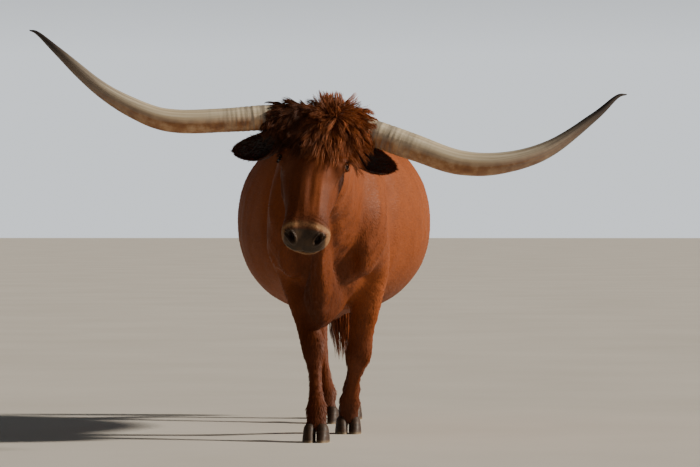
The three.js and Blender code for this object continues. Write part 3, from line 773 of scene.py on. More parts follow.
def nose_pad(h):
    """1 on the moist pad between and round the nostrils, of points in the head's frame."""
    hx, hy, hz = mirrored(h).T
    front = step(-0.455, -0.469, hy + 0.1 * hx)
    above = step(mouth_height(hy) - 0.002, mouth_height(hy) + 0.006, hz)
    return front * above * (1 - step(0.073, 0.085, hx))


def bare_skin(co):
    """1 where the skin is bare and moist (nose pad, lips, lid rims), 0 where hair grows."""
    h = body_to_head(co)
    bare = nose_pad(h) + lip_line(h, 0.006)
    for side in (-1, 1):
        a, b, out = eye_place(h, side)
        bare += np.exp(-((np.maximum(almond(a, b) - 1.1, 0) / 0.4) ** 4)) * (out > 0)
    return np.clip(bare * head_weight(co), 0, 1)


def hair_lie(co, n):
    """The way the hair lies on the skin: back along the trunk, down the legs, up the face from the muzzle."""
    h = body_to_head(co)
    y, z = co.T[1:]
    lie = np.tile([0, 1.0, -0.35], (len(co), 1))
    for way, where in (
        ((0, 0.1, -1.0), step(0.62, 0.5, z) * ((y < 0.35) | (y > 0.75))),
        ((0, 0, -1.0), step(1.40, 1.43, y)),
        ((0, 0.35, -0.9), step(-0.1, -0.3, y) * step(1.0, 0.8, z)),
    ):
        lie = mix(lie, np.array(way), where[:, None])
    # On the face it spreads from the middle, and from the crown it comes down to meet that
    ones = np.ones(len(h))
    local = np.stack([np.sign(h[:, 0]) * (0.25 + 2.5 * np.abs(h[:, 0])), 0.9 * ones, -0.2 * ones], 1)
    crown = np.stack([np.sign(h[:, 0]) * 0.5, -0.7 * ones, 0 * ones], 1)
    local = mix(local, crown, step(-0.24, -0.12, h[:, 1])[:, None])
    lie = mix(lie, unit(local @ HEAD_MATRIX.T), head_weight(co)[:, None])
    lie = lie + 0.13 * np.stack([noise(co, 0.09, seed) for seed in (21, 22, 23)], 1)
    return unit(lie - n * np.sum(lie * n, 1, keepdims=True))


def hair_length(co):
    """How long the short coat is at each point, in metres."""
    y, z = co.T[1:]
    length = np.full(len(co), 0.017)
    length += 0.012 * step(-0.05, -0.35, y) * step(0.85, 0.6, z)
    length += 0.01 * step(0.56, 0.5, z) * (y > -0.1) * (y < 1.0)
    length += 0.008 * step(1.2, 1.27, z)
    length -= 0.005 * step(0.45, 0.3, z)
    head = head_weight(co)
    length = length * (1 - 0.55 * head)
    h = body_to_head(co)
    length += 0.022 * head * step(-0.2, -0.09, h[:, 1]) * step(-0.1, -0.04, h[:, 2])
    length += 0.006 * head * step(-0.12, -0.18, h[:, 2])
    return length * (1 - 0.85 * bare_skin(co))


def unwrap(co):
    """A flat place in the unit square for each point of the skin.

    The trunk is unrolled round its length, and legs and head have fields of their own.
    """
    x, y, z = co.T
    u = (np.arctan2(x, z - 0.9) / (2 * math.pi) + 0.5) * 0.6 + 0.01
    v = (y + 0.95) / 2.5 * 0.97 + 0.01
    out = np.stack([u, v], 1)
    low = z < 0.5
    for i, leg in enumerate(LEGS.values()):
        mid, foot = np.array(leg["joints"][1:3]) / 1000
        t = np.clip((z - foot[2]) / (mid[2] - foot[2]), -0.5, 1.6)
        cx, cy = mix(foot[0], mid[0], t), mix(foot[1], mid[1], t)
        near = low & (np.abs(y - cy) < 0.2) & (np.sign(x - 0.01) == np.sign(mid[0]))
        a = np.arctan2(x - cx, y - cy) / (2 * math.pi) + 0.5
        out[near] = np.stack([0.63 + 0.08 * (i + a), z / 0.5 * 0.3], 1)[near]
    head = head_weight(co) > 0.5
    h = body_to_head(co)
    a = np.arctan2(h[:, 0], h[:, 2] + 0.1) / (2 * math.pi) + 0.5
    out[head] = np.stack([0.63 + 0.35 * a, 0.35 + (h[:, 1] + 0.56) / 0.7 * 0.6], 1)[head]
    return np.clip(out, 0.002, 0.998)


# Node trees: one helper adds a node and links its inputs

TINT = {"take": 2, "data_type": "RGBA"}
TINT_MULTIPLIED = {**TINT, "blend_type": "MULTIPLY"}
EVEN = (1, 1, 1)


def add(tree, kind, inputs=(), take=0, **settings):
    """Adds a node, sets it up, feeds its inputs and gives back the output that is asked for.

    inputs is a tuple in the order of the sockets, or a dict by their name or place. It holds plain values
    and the outputs of other nodes.
    """
    node = tree.nodes.new(kind if "Node" in kind else "ShaderNode" + kind)
    for key, value in settings.items():
        setattr(node, key, value)
    for key, value in inputs.items() if isinstance(inputs, dict) else enumerate(inputs):
        if isinstance(value, bpy.types.NodeSocket):
            tree.links.new(value, node.inputs[key])
        else:
            node.inputs[key].default_value = value
    return node.outputs[take] if node.outputs else node


def lay_out(tree):
    """Spreads the nodes out, so that they can be read in the editor."""
    for i, node in enumerate(tree.nodes):
        node.location = (i % 6 * 220 - 1200, -(i // 6) * 260)


def tint(colour):
    """A colour for a node: the name of a setting, or an sRGB hex code."""
    return (*(linear(colour) if colour[0] == "#" else shade(colour)), 1)


def material(name, build, **surface):
    """A node material: build(tree) gives colour, roughness, height, bump and its depth.

    surface holds the values that are the same everywhere.
    """
    made = bpy.data.materials.new(name)
    made.use_nodes = True
    tree = made.node_tree
    tree.nodes.clear()
    colour, rough, height, strength, depth = build(tree)
    bump = add(tree, "Bump", {"Height": height, "Strength": strength, "Distance": depth})
    fixed = {key.replace("_", " "): value for key, value in surface.items()}
    shader = add(tree, "BsdfPrincipled", {"Base Color": colour, "Roughness": rough, "Normal": bump, **fixed})
    add(tree, "OutputMaterial", {"Surface": shader})
    lay_out(tree)
    return made


def grain(tree, where, stretch, scale=1.0, detail=3.0, rough=0.55):
    """A pattern of noise, longer along the axes with a small stretch, like hair, fibres and growth rings."""
    drawn = add(tree, "Mapping", {"Vector": where, "Scale": stretch})
    return add(tree, "TexNoise", {"Vector": drawn, "Scale": scale, "Detail": detail, "Roughness": rough})


# Hair that lies flat shines a little along its length, and hardly at its rims
SHORT_HAIR_SHINE = {"Sheen_Weight": 0.02, "Sheen_Roughness": 0.4, "Specular_IOR_Level": 0.16}


def hide_finish():
    """Short hair lying flat over hide: clumps of some millimetres with painted shade between them, pebbled
    where bare.
    """

    def build(tree):
        where = add(tree, "TexCoord", take="Object")
        base = add(tree, "Attribute", take="Color", attribute_name="markings")
        bare = add(tree, "Attribute", take="Fac", attribute_name="bare")
        # Hairs are 0.05 mm thick: they are drawn 2 mm wide, in clumps of 8 mm, so that they show
        fine = grain(tree, where, (1.0, 0.35, 1.0), 420.0, 2.0)
        clump = grain(tree, where, (1.0, 0.3, 1.0), 130.0)
        # Uneven colour, 70 mm across
        wide = grain(tree, where, EVEN, 14.0, 4.0)
        # The colour follows the clumps' relief, darker where it is low: painted shade between the clumps
        low = add(tree, "MapRange", (clump, 0.3, 0.7, 0.76, 1.06))
        high = add(tree, "MapRange", (fine, 0.3, 0.7, -0.1, 0.1))
        dark = add(tree, "Math", (low, high), operation="ADD")
        patchy = add(tree, "MapRange", (wide, 0.3, 0.7, 0.86, 1.12))
        dark = add(tree, "Math", (dark, patchy), operation="MULTIPLY")
        hairy = add(tree, "Mix", {0: 1.0, 6: base, 7: dark}, **TINT_MULTIPLIED)
        colour = add(tree, "Mix", {0: bare, 6: hairy, 7: base}, **TINT)
        # The nose pad's pebbles are 3 mm across, as real ones are
        pebble = add(tree, "TexVoronoi", {"Vector": where, "Scale": 340.0})
        half = add(tree, "Math", (fine, 0.5), operation="MULTIPLY")
        relief = add(tree, "Math", (clump, half), operation="ADD")
        height = add(tree, "Mix", {0: bare, 2: relief, 3: pebble}, data_type="FLOAT")
        rough = add(tree, "MapRange", (bare, 0.0, 1.0, 0.62, 0.34))
        return colour, rough, height, 0.4, 0.002

    return material("short_hair_over_hide", build, **SHORT_HAIR_SHINE)


def hair_finish(name, rough=0.5, spread=0.3):
    """Hair in locks: its root's colour, streaked along its length, paler at the tip, each of its own shade.

    spread is how far the shades of neighbours lie apart.
    """

    def build(tree):
        where = add(tree, "TexCoord", take="Object")
        base = add(tree, "Attribute", take="Color", attribute_name="markings")
        tip = add(tree, "Attribute", take="Fac", attribute_name="along")
        own = add(tree, "Attribute", take="Fac", attribute_name="own")
        # Strands 1 mm wide, coarser than hairs, so that they show
        streak = grain(tree, where, (1.0, 1.0, 0.25), 900.0, 2.0)
        own = add(tree, "MapRange", (own, 0.0, 1.0, 1 - spread, 1 + spread))
        tip = add(tree, "MapRange", (tip, 0.0, 1.0, 1 - spread * 0.7, 1 + spread * 0.6))
        strand = add(tree, "MapRange", (streak, 0.3, 0.7, 0.88, 1.1))
        dark = add(tree, "Math", (own, tip), operation="MULTIPLY")
        dark = add(tree, "Math", (dark, strand), operation="MULTIPLY")
        colour = add(tree, "Mix", {0: 1.0, 6: base, 7: dark}, **TINT_MULTIPLIED)
        return colour, rough, streak, 0.2, 0.0005

    return material(name, build, **SHORT_HAIR_SHINE)


def horn_finish():
    """Horn sheath: ivory with long fibres, an amber stain below that is partly painted shade, grey ringed
    root, dark polished tip.
    """

    def build(tree):
        where = add(tree, "Attribute", take="Vector", attribute_name="sheath")
        run = add(tree, "Attribute", take="Fac", attribute_name="run")
        under = add(tree, "Attribute", take="Fac", attribute_name="under")
        # Fibres run the horn's length in bands of 12 mm down to 1 mm; root rings lie 14 mm apart
        streaks = grain(tree, where, (3.0, 80.0, 80.0), 1.0, 4.0, 0.6)
        rings = grain(tree, where, (70.0, 6.0, 6.0))
        mottle = grain(tree, add(tree, "TexCoord", take="Object"), EVEN, 22.0, 4.0)
        banded = add(tree, "MapRange", (streaks, 0.35, 0.65))
        colour = add(tree, "Mix", {0: banded, 6: tint("ivory"), 7: tint("#B9A88A")}, **TINT)
        blotched = add(tree, "MapRange", (mottle, 0.35, 0.7))
        amber = add(tree, "Mix", {0: blotched, 6: tint("amber"), 7: tint("#7A4A24")}, **TINT)
        # Layers: where each starts and is full, the texture that breaks it up, its range, and its colour
        for place, start, full, texture, broken, layer in (
            # The underside: an amber stain, partly painted shade under the horn
            (under, 0.3, 0.64, mottle, (0.2, 0.55, 0.6, 1.0), amber),
            (run, 0.32, 0.02, rings, (0.42, 0.6), tint("#6F655C")),
            (run, 0.42, 0.72, streaks, (0.3, 0.62, 0.35, 1.0), tint("#7C7066")),
            (run, 0.66, 0.9, streaks, (0.2, 0.6, 0.7, 1.0), tint("tip")),
        ):
            near = add(tree, "MapRange", (place, start, full))
            patches = add(tree, "MapRange", (texture, *broken))
            mask = add(tree, "Math", (near, patches), operation="MULTIPLY")
            colour = add(tree, "Mix", {0: mask, 6: colour, 7: layer}, **TINT)
        height = add(tree, "Math", (streaks, rings), operation="ADD")
        return colour, add(tree, "MapRange", (mottle, 0.3, 0.7, 0.36, 0.52)), height, 0.35, 0.0012

    return material("ivory_horn_sheath", build, Specular_IOR_Level=0.5, Coat_Weight=0.08)


def hoof_finish():
    """Hoof horn: dark grey-brown wall with level rings and upright fibres, dusty and pale at the edge."""

    def build(tree):
        where = add(tree, "TexCoord", take="Object")
        low = add(tree, "SeparateXYZ", (where,), "Z")
        # Growth rings 5 mm apart and fibres 4 mm wide, both drawn coarser than they are
        rings = grain(tree, where, (6.0, 6.0, 190.0))
        fibres = grain(tree, where, (260.0, 260.0, 18.0), 1.0, 2.0)
        dust = grain(tree, where, EVEN, 60.0, 4.0)
        ringed = add(tree, "MapRange", (rings, 0.35, 0.65))
        colour = add(tree, "Mix", {0: ringed, 6: tint("#23160F"), 7: tint("hoof")}, **TINT)
        ridged = add(tree, "MapRange", (fibres, 0.4, 0.7, 0.0, 0.4))
        colour = add(tree, "Mix", {0: ridged, 6: colour, 7: tint("#533A28")}, **TINT)
        edge = add(tree, "MapRange", (low, 0.012, 0.0))
        dusty = add(tree, "MapRange", (dust, 0.3, 0.6, 0.3, 0.9))
        worn = add(tree, "Math", (edge, dusty), operation="MULTIPLY")
        colour = add(tree, "Mix", {0: worn, 6: colour, 7: tint("#9A8567")}, **TINT)
        height = add(tree, "Math", (rings, fibres), operation="ADD")
        return colour, add(tree, "MapRange", (dust, 0.3, 0.7, 0.5, 0.72)), height, 0.4, 0.001

    return material("dark_hoof_horn", build, Specular_IOR_Level=0.4)


def eye_finish():
    """Wet eyeball: near-black iris with a level oval pupil, brown rim and a little white at the corners."""

    def build(tree):
        where = add(tree, "Attribute", take="Vector", attribute_name="gaze")
        reach = []
        for stretch in ((0.62, 1.15, 0.0), (1, 1, 0)):
            flat = add(tree, "Mapping", {"Vector": where, "Scale": stretch})
            reach.append(add(tree, "VectorMath", (flat,), "Value", operation="LENGTH"))
        rays = grain(tree, where, (9, 9, 0), 3.0)
        rayed = add(tree, "MapRange", (rays, 0.3, 0.7))
        iris = add(tree, "Mix", {0: rayed, 6: tint("#150A06"), 7: tint("#28150C")}, **TINT)
        pupil = add(tree, "MapRange", (reach[0], 0.3, 0.34, 1.0, 0.0))
        colour = add(tree, "Mix", {0: pupil, 6: iris, 7: tint("#050406")}, **TINT)
        white = add(tree, "MapRange", (reach[1], 0.72, 0.8))
        colour = add(tree, "Mix", {0: white, 6: colour, 7: tint("#6E5648")}, **TINT)
        return colour, 0.09, rays, 0.02, 0.0002

    return material("wet_eye", build, Specular_IOR_Level=0.25)


def ear_finish():
    """Ear: thin hide with short hair in clumps with painted shade between them, brown outside, painted shade
    in the cup, paler at the rim.
    """

    def build(tree):
        where = add(tree, "TexCoord", take="Object")
        base = add(tree, "Attribute", take="Color", attribute_name="markings")
        # Strands of 2 mm in clumps of 8 mm, as on the hide
        fine = grain(tree, where, EVEN, 420.0, 2.0)
        clump = grain(tree, where, EVEN, 130.0)
        # Darker where the clumps' relief is low: painted shade between the clumps
        dark = add(tree, "MapRange", (clump, 0.3, 0.7, 0.75, 1.15))
        colour = add(tree, "Mix", {0: 1.0, 6: base, 7: dark}, **TINT_MULTIPLIED)
        return colour, 0.65, add(tree, "Math", (clump, fine), operation="ADD"), 0.4, 0.002

    return material("ear_hide", build, Sheen_Weight=0.05, Subsurface_Weight=0.04)


def pale_floor_finish():
    """Seamless pale studio floor with a faint unevenness."""

    def build(tree):
        soft = grain(tree, add(tree, "TexCoord", take="Object"), EVEN, 0.7, 4.0)
        uneven = add(tree, "MapRange", (soft, 0.3, 0.7))
        colour = add(tree, "Mix", {0: uneven, 6: tint("#CCC7BE"), 7: tint("#D6D2CA")}, **TINT)
        return colour, 0.85, soft, 0.05, 0.01

    return material("pale_studio_floor", build)


# Hair: locks and tufts as thin closed blades, and what every one of them carries


def wear(made, roots, per, along, seed, tone=1.0):
    """Gives blades of per points each what their finish reads.

    That is their root's colour, their own shade, their run from root to tip and a small patch of the unwrap.
    """
    mesh = made.data
    count = len(roots)
    rng = np.random.default_rng(seed)
    store(mesh, "markings", opaque(np.repeat(markings(roots) * tone, per, 0)))
    store(mesh, "own", np.repeat(rng.random(count), per))
    run = np.tile(along, count).astype(np.float32)
    store(mesh, "along", run)
    corner = read(mesh.loops, "vertex_index", 1, np.int32)[:, 0]
    place = np.repeat(unwrap(roots), per, 0)
    across = np.tile(np.arange(per) % 3 / 2 - 0.5, count)
    patch = place + 0.003 * np.stack([across, run - 0.5], 1)
    mesh.uv_layers.new(name="OFBake").data.foreach_set("uv", patch[corner].astype(np.float32).ravel())


def blades(name, roots, paths, out, width, thick, seed, tone=1.0):
    """Flat, tapered, bending locks.

    paths (count, rings, 3) run from each root, and out is the way their broad side faces.
    """
    count, rings = paths.shape[:2]
    t = np.linspace(0, 1, rings)
    along = unit(np.gradient(paths, axis=1))
    out = np.broadcast_to(out[:, None] if out.ndim == 2 else out, paths.shape)
    side = unit(np.cross(along, out))
    face = unit(np.cross(side, along))
    shape = np.where(t < 0.3, 0.7 + t, np.sqrt(np.maximum(1 - ((t - 0.3) / 0.7) ** 1.8, 0.0))) + 0.03
    w = np.asarray(width).reshape(-1, 1) * shape
    d = np.asarray(thick).reshape(-1, 1) * shape
    low = paths - face * d[..., None] * 0.5
    verts = np.stack([low - side * w[..., None], paths + face * d[..., None], low + side * w[..., None]], 2)
    i = np.arange(rings - 1)[:, None] * 3
    j = np.arange(3)[None]
    k = (j + 1) % 3
    a, b, c, e = i + j, i + k, i + 3 + k, i + 3 + j
    faces = np.concatenate([np.stack([a, b, c], -1).reshape(-1, 3), np.stack([a, c, e], -1).reshape(-1, 3)])
    last = (rings - 1) * 3
    faces = np.concatenate([faces, [[0, 2, 1]], [[last, last + 1, last + 2]]])
    per = rings * 3
    whole = (faces[None] + np.arange(count)[:, None, None] * per).reshape(-1, 3)
    made = fast_object(name, verts.reshape(-1, 3) + SHIFT, whole)
    wear(made, roots, per, np.repeat(t, 3), seed, tone)
    return made


def drift(roots, start, fall, length, rings, curl, rng, wave=0.0):
    """Paths that leave each root along start and turn towards fall, with a little curl of their own."""
    count = len(roots)
    t = np.linspace(0, 1, rings)
    paths = [roots]
    swing = unit(rng.normal(size=(count, 3)))
    phase = rng.random(count) * 2 * math.pi
    turn = unit(rng.normal(size=(count, 3)))
    for u in t[1:]:
        heading = start * (1 - u**0.8) + fall * u**0.8
        heading = heading + swing * curl * u + turn * (wave * np.sin(phase + u * 7))[:, None]
        paths.append(paths[-1] + unit(heading) * (length / (rings - 1))[:, None])
    return np.stack(paths, 1)


def side_name(side):
    return "right" if side < 0 else "left"


def finish_piece(made, name, slot, finish, *replaced):
    """Names a piece, gives it its material, and ties it to the frame."""
    made.name = name
    made.data.name = name
    made.data.materials.clear()
    made.data.materials.append(finish)
    if replaced:
        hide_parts(*replaced)
    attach(made, "root")
    return made


def paint(mesh, co, tone=1.0):
    """Stores the coat's colours and the bare places on a skin's points, given in the build frame."""
    store(mesh, "markings", opaque(markings(co) * tone))
    store(mesh, "bare", bare_skin(co))


# Making each piece

FLESH_NODES = ["trunk", "neck", "head", "tail"]
for leg in LEGS:
    FLESH_NODES += [f"{leg}_forearm" if "fore" in leg else f"{leg}_gaskin", f"{leg}_cannon"]
# How high above the floor the skin ends, inside the hooves, and the coat, above them
SKIN_END = 0.03
COAT_END = 0.045


def make_skin(voxel, depth):
    """One closed skin over trunk, neck, head, tail and legs, sculpted and painted."""
    made = voxel_mesh(make_object("hide", *flesh_forms()), voxel)
    mesh = made.data
    co = points_of(mesh)
    weight = 0.55 - 0.3 * head_weight(co)
    weight = np.where(co[:, 2] < 0.5, 0.4, weight)
    co = neighbour_mean(co, edges_of(mesh), 14, weight, 0.6)
    # Where forms meet they are blended more: under the tail, then withers, rump, hips and back of the thigh
    m = mirrored(co)
    blended = bump_at(m, (0.1, 1.36, 1.0), (0.12, 0.1, 0.3)) * (co[:, 1] < 1.42)
    for amount, centre, reach in (
        (1.6, (0.1, -0.06, 1.16), (0.34, 0.36, 0.3)),
        (1.0, (0.1, 1.2, 1.22), (0.2, 0.28, 0.14)),
        (1.2, (0.2, 1.02, 1.2), (0.16, 0.24, 0.12)),
        (1.4, (0.22, 1.32, 0.79), (0.2, 0.16, 0.12)),
    ):
        blended += amount * bump_at(m, centre, reach)
    co = neighbour_mean(co, edges_of(mesh), 110, 0.6 * np.clip(blended, 0, 1))
    set_points(mesh, co)
    co = sculpt_body(co, normals_of(mesh))
    co = co - normals_of(mesh) * depth * (1 - head_weight(co) * 0.5)[:, None]
    set_points(mesh, co)
    refine(mesh, lambda p: head_weight(p) > 0.3)

    def fine(p):
        h = body_to_head(p)
        near_eye = np.zeros(len(p), bool)
        for side in (-1, 1):
            near_eye |= np.linalg.norm(h - eye_axes(side)[0], axis=1) < 0.052
        return near_eye | ((h[:, 1] < -0.37) & (head_weight(p) > 0.3))

    refine(mesh, fine)
    co = neighbour_mean(points_of(mesh), edges_of(mesh), 4, 0.4, 0.5)
    set_points(mesh, co)
    weight = head_weight(co)
    h = body_to_head(co)
    n = normals_of(mesh) @ HEAD_MATRIX
    shaped = head_to_body(sculpt_head(h, n))
    co = mix(co, shaped, weight[:, None])
    # The skin of the feet ends inside the hooves
    co[:, 2] = np.maximum(co[:, 2], SKIN_END)
    set_points(mesh, co)
    paint(mesh, co)
    set_points(mesh, co + SHIFT)
    return finish_piece(made, "hide", "coat", hide_finish(), *FLESH_NODES)


# Each horn's line from root to tip, and its radius there, in millimetres
HORN_LINES = {
    "horn_right": [
        (-96, -812, 1270, 49), (-215, -826, 1270, 48.5), (-362, -846, 1260, 46.5), (-530, -862, 1256, 45),
        (-657, -866, 1284, 40.5), (-827, -852, 1375, 30.5), (-993, -826, 1518, 17), (-1077, -806, 1592, 8),
        (-1113, -796, 1607, 2),
    ],
    "horn_left": [
        (96, -812, 1236, 50), (214, -826, 1208, 50.5), (370, -846, 1152, 50), (538, -862, 1098, 46.5),
        (705, -864, 1099, 41), (875, -846, 1154, 30), (1043, -818, 1273, 16.5), (1128, -800, 1348, 8),
        (1168, -792, 1359, 2),
    ],
}


def make_horn(name, rings, ridge, finish):
    """A horn: round, long, thick at the root with shallow rings, sweeping out and up to a fine tip."""
    count, sides = rings, 48
    rows = spline(HORN_LINES[name], count) / 1000
    at, radius = rows[:, :3], np.maximum(rows[:, 3], 0.0015)
    along = unit(np.gradient(at, axis=0))
    run = np.concatenate([[0], np.cumsum(np.linalg.norm(np.diff(at, axis=0), axis=1))])
    fore = unit(np.array([0, -1.0, 0]) + along * along[:, 1:2])
    up = np.cross(fore, along)
    up *= np.where(up[:, 2:3] < 0, -1, 1)
    c, s = circle(sides)
    out = fore[:, None] * c[:, None] + up[:, None] * s[:, None]
    share = run / run[-1]
    wobble = noise(np.stack([run, np.zeros(count), radius], 1), 0.011, 31) * 0.7
    wobble += np.sin(run * 2 * math.pi / 0.019 + 2 * np.sin(run * 23)) * 0.5
    ringed = radius + ridge * wobble * (1 - step(0.1, 0.34, share)) * (radius > 0.004)
    sphere = at[:, None] + out * 0.05
    slow = noise(sphere.reshape(-1, 3), 0.12, 32).reshape(count, sides) * 0.0012
    fibres = (out * 0.05 + share[:, None, None] * 0.05).reshape(-1, 3)
    fine = noise(fibres, 0.006, 33).reshape(count, sides) * 0.0004
    reach = ringed[:, None] + (slow + fine) * np.minimum(1, radius / 0.02)[:, None]
    rings_at = at[:, None] + out * reach[..., None]
    if np.cross(rings_at[0, 1] - rings_at[0, 0], along[0]) @ out[0, 0] > 0:
        order = np.arange(sides)
    else:
        order = -np.arange(sides) % sides
    verts, faces = loft(rings_at[:, order])
    made = make_object(name, verts + SHIFT, faces)
    mesh = made.data
    # What the finish reads: the share of the length, how low a point lies, and its place along and round
    store(mesh, "run", np.append(np.repeat(share, sides), share[[0, -1]]))
    store(mesh, "under", np.append((0.5 - 0.5 * out[:, order, 2]).ravel(), [0.5, 0.5]))
    round_it = np.stack([c, s], 1)[order] * 0.05
    sheath = np.column_stack([np.repeat(run, sides), np.tile(round_it, (count, 1))])
    store(mesh, "sheath", np.vstack([sheath, [[run[0], 0, 0], [run[-1], 0, 0]]]))
    return finish_piece(made, f"{name}_sheath", "horn", finish, name)


def make_eye(side, finish):
    """An eyeball with its cornea standing a little proud."""
    centre, look, long, up = eye_axes(side)

    def height(t):
        return math.cos(t) + CORNEA / EYE_RADIUS * max(0.0, 1 - (t / 0.75) ** 2)

    verts, faces = globe(48, 32, height)
    verts = verts * EYE_RADIUS
    axes = np.array([long, up, look])
    if np.linalg.det(axes) < 0:
        axes[0] = -axes[0]
    name = side_name(side)
    made = make_object(f"eye_{name}", head_to_body(verts @ axes + centre) + SHIFT, faces)
    store(made.data, "gaze", verts / IRIS_REACH)
    return finish_piece(made, f"eyeball_{name}", "eye", finish, f"eye_{name}")


def make_lashes(side, count, finish):
    """Dark lashes along the upper lid, bowed down over the eye, and a few short ones below."""
    rng = np.random.default_rng(90 + side)
    centre, look, long, up = eye_axes(side)
    # Roots lie on the rims, just outside the opening
    low = rng.random(count) < 0.2
    a = 0.019 * rng.uniform(-0.92, 0.92, count)
    arch = np.where(low, -LOWER_LID, UPPER_LID) * (1 - (np.abs(a) / LID_HALF) ** 2.2) ** 0.75
    b = arch * 1.12
    c = np.sqrt(np.maximum(0.0245**2 - a**2 - b**2, 1e-6))
    root = centre + a[:, None] * long + b[:, None] * up + c[:, None] * look
    lift = np.where(low, -0.7, 0.35)[:, None]
    start = unit(look * 0.9 + up * lift + long * (a * 18)[:, None] + rng.normal(size=root.shape) * 0.08)
    fall = unit(look * 0.7 + up * np.where(low, -0.2, -0.35)[:, None] + long * (a * 22)[:, None])
    size = np.where(low, 0.006, 0.013) * rng.uniform(0.8, 1.15, count)
    paths = drift(root - look * 0.002, start, fall, size, 6, 0.08, rng)
    body = head_to_body(paths)
    out = np.tile(up @ HEAD_MATRIX.T, (count, 1))
    wide = np.full(count, 0.0005)
    name = side_name(side)
    made = blades(f"lashes_{name}", head_to_body(root), body, out, wide, wide * 0.8, 91, 0.12)
    return finish_piece(made, f"lashes_{name}", "coat", finish)


def ear_surface(side, u, a, inner):
    """A point of the ear in the head's frame: u runs from root to tip, a round the cup from rim to rim."""
    leaf = np.sqrt(np.maximum(np.sin(math.pi * np.minimum(1, 0.24 + 0.76 * u)), 0))
    half = 0.049 * leaf * np.where(u < 0.3, 0.62 + 0.38 * u / 0.3, 1) + 0.003
    depth = half * mix(0.95, 0.36, u**0.8)
    wall = mix(0.009, 0.004, np.minimum(1, u * 1.6)) * np.minimum(1, half / 0.024)
    edge = np.clip(1 - np.abs(a), 0, 1)
    wall = wall * (0.35 + 0.65 * np.minimum(1, edge * 3.0))
    angle = a * mix(2.7, 1.8, np.minimum(1, u * 1.8))
    r = half - wall * inner * 0.85
    d = depth - wall * inner
    fold = 0.0016 * np.sin(a * 9 + u * 3) * inner * np.minimum(1, u * 3)
    x = side * u * 0.19
    y = -0.016 * np.sin(u * 2.2) + np.sin(angle) * r
    z = -np.cos(angle) * d + fold
    turn = turned((0.45, side * 0.12, side * -0.26))
    return np.stack([x, y, z], -1) @ turn.T + np.array([side * 0.134, -0.062, -0.084])


def make_ear(side, finish):
    """A thin leaf-shaped cup on a short stalk, hollow side forward."""
    steps, arc = 48, 33
    u = np.repeat(np.linspace(0, 1, steps)[:, None], arc, 1)
    a = np.repeat(np.linspace(-1, 1, arc)[None], steps, 0)
    outer = ear_surface(side, u, a, 0.0)
    inner = ear_surface(side, u, a, 1.0)[:, ::-1]
    rings = np.concatenate([outer, inner], 1)
    if side > 0:
        rings = rings[:, ::-1]
    verts, faces = loft(rings)
    body = head_to_body(verts)
    name = side_name(side)
    made = make_object(f"ear_{name}", body + SHIFT, faces)
    inside = np.concatenate([np.zeros((steps, arc)), np.ones((steps, arc))], 1)
    rim = np.concatenate([np.abs(a), np.abs(a[:, ::-1])], 1)
    if side > 0:
        inside, rim = inside[:, ::-1], rim[:, ::-1]
    inside = np.append(inside.ravel(), [0, 0])[:, None]
    rim = np.append(rim.ravel(), [1, 1])[:, None]
    back = mix(shade("dark"), shade("deep"), 0.5)
    # The cup's near-black is painted shade in its hollow
    cup = np.array(linear("#1B0F0B"))
    edge = np.array(linear("#5B3020"))
    colour = mix(mix(back, cup, inside), edge, step(0.86, 0.98, rim))
    store(made.data, "markings", opaque(colour))
    return finish_piece(made, f"ear_shell_{name}", "coat", finish, f"ear_{name}")


def make_ear_hair(side, count, seed, finish):
    """Soft hair along the ear's rim and out of its cup."""
    rng = np.random.default_rng(seed)
    u = rng.uniform(0.08, 0.98, count)
    rim = rng.random(count) < 0.6
    at_rim = rng.choice([-1, 1], count) * rng.uniform(0.88, 1.0, count)
    a = np.where(rim, at_rim, rng.uniform(-0.8, 0.8, count))
    inner = np.where(rim, rng.uniform(0, 1, count), 0.9)
    p = ear_surface(side, u, a, inner)
    ahead = ear_surface(side, np.minimum(u + 0.03, 1.0), a, inner)
    ahead -= ear_surface(side, np.maximum(u - 0.03, 0), a, inner)
    around = ear_surface(side, u, a + 0.02, inner) - ear_surface(side, u, a - 0.02, inner)
    normal = unit(np.cross(unit(ahead), unit(around)))
    face = np.array([0, 0.1, 1.0])
    normal *= np.where((normal @ face)[:, None] < 0, -1, 1)
    outward = unit(around) * np.sign(a)[:, None]
    start = unit(ahead) * 0.9 + np.where(rim[:, None], outward * 0.8, normal * 0.5)
    start = unit(start + rng.normal(size=(count, 3)) * 0.15)
    fall = unit(ahead + rng.normal(size=(count, 3)) * 0.004)
    length = np.where(rim, rng.uniform(0.008, 0.017, count), rng.uniform(0.012, 0.024, count))
    paths = drift(p - start * 0.001, start, fall, length, 4, 0.2, rng)
    body = head_to_body(paths)
    out = normal @ HEAD_MATRIX.T
    # Hair in the cup is darker than at the rim: painted shade in the hollow
    tone = np.where(rim, 0.55, 0.3)[:, None] * rng.uniform(0.8, 1.2, (count, 1))
    name = side_name(side)
    wide, thick = np.full(count, 0.0011), np.full(count, 0.0004)
    made = blades(f"ear_hair_{name}", head_to_body(p), body, out, wide, thick, seed, tone)
    return finish_piece(made, f"ear_hair_{name}", "coat", finish)


# A claw's sections in millimetres: height, half width, reach to heel and to toe, shift along the foot
CLAW_LEVELS = [
    (0, 26, 40, 63, -2), (8, 26, 40.5, 60.5, -1.6), (30, 25, 40, 50, 0),
    (58, 23, 37, 36, 2), (70, 19, 30, 27, 4),
]


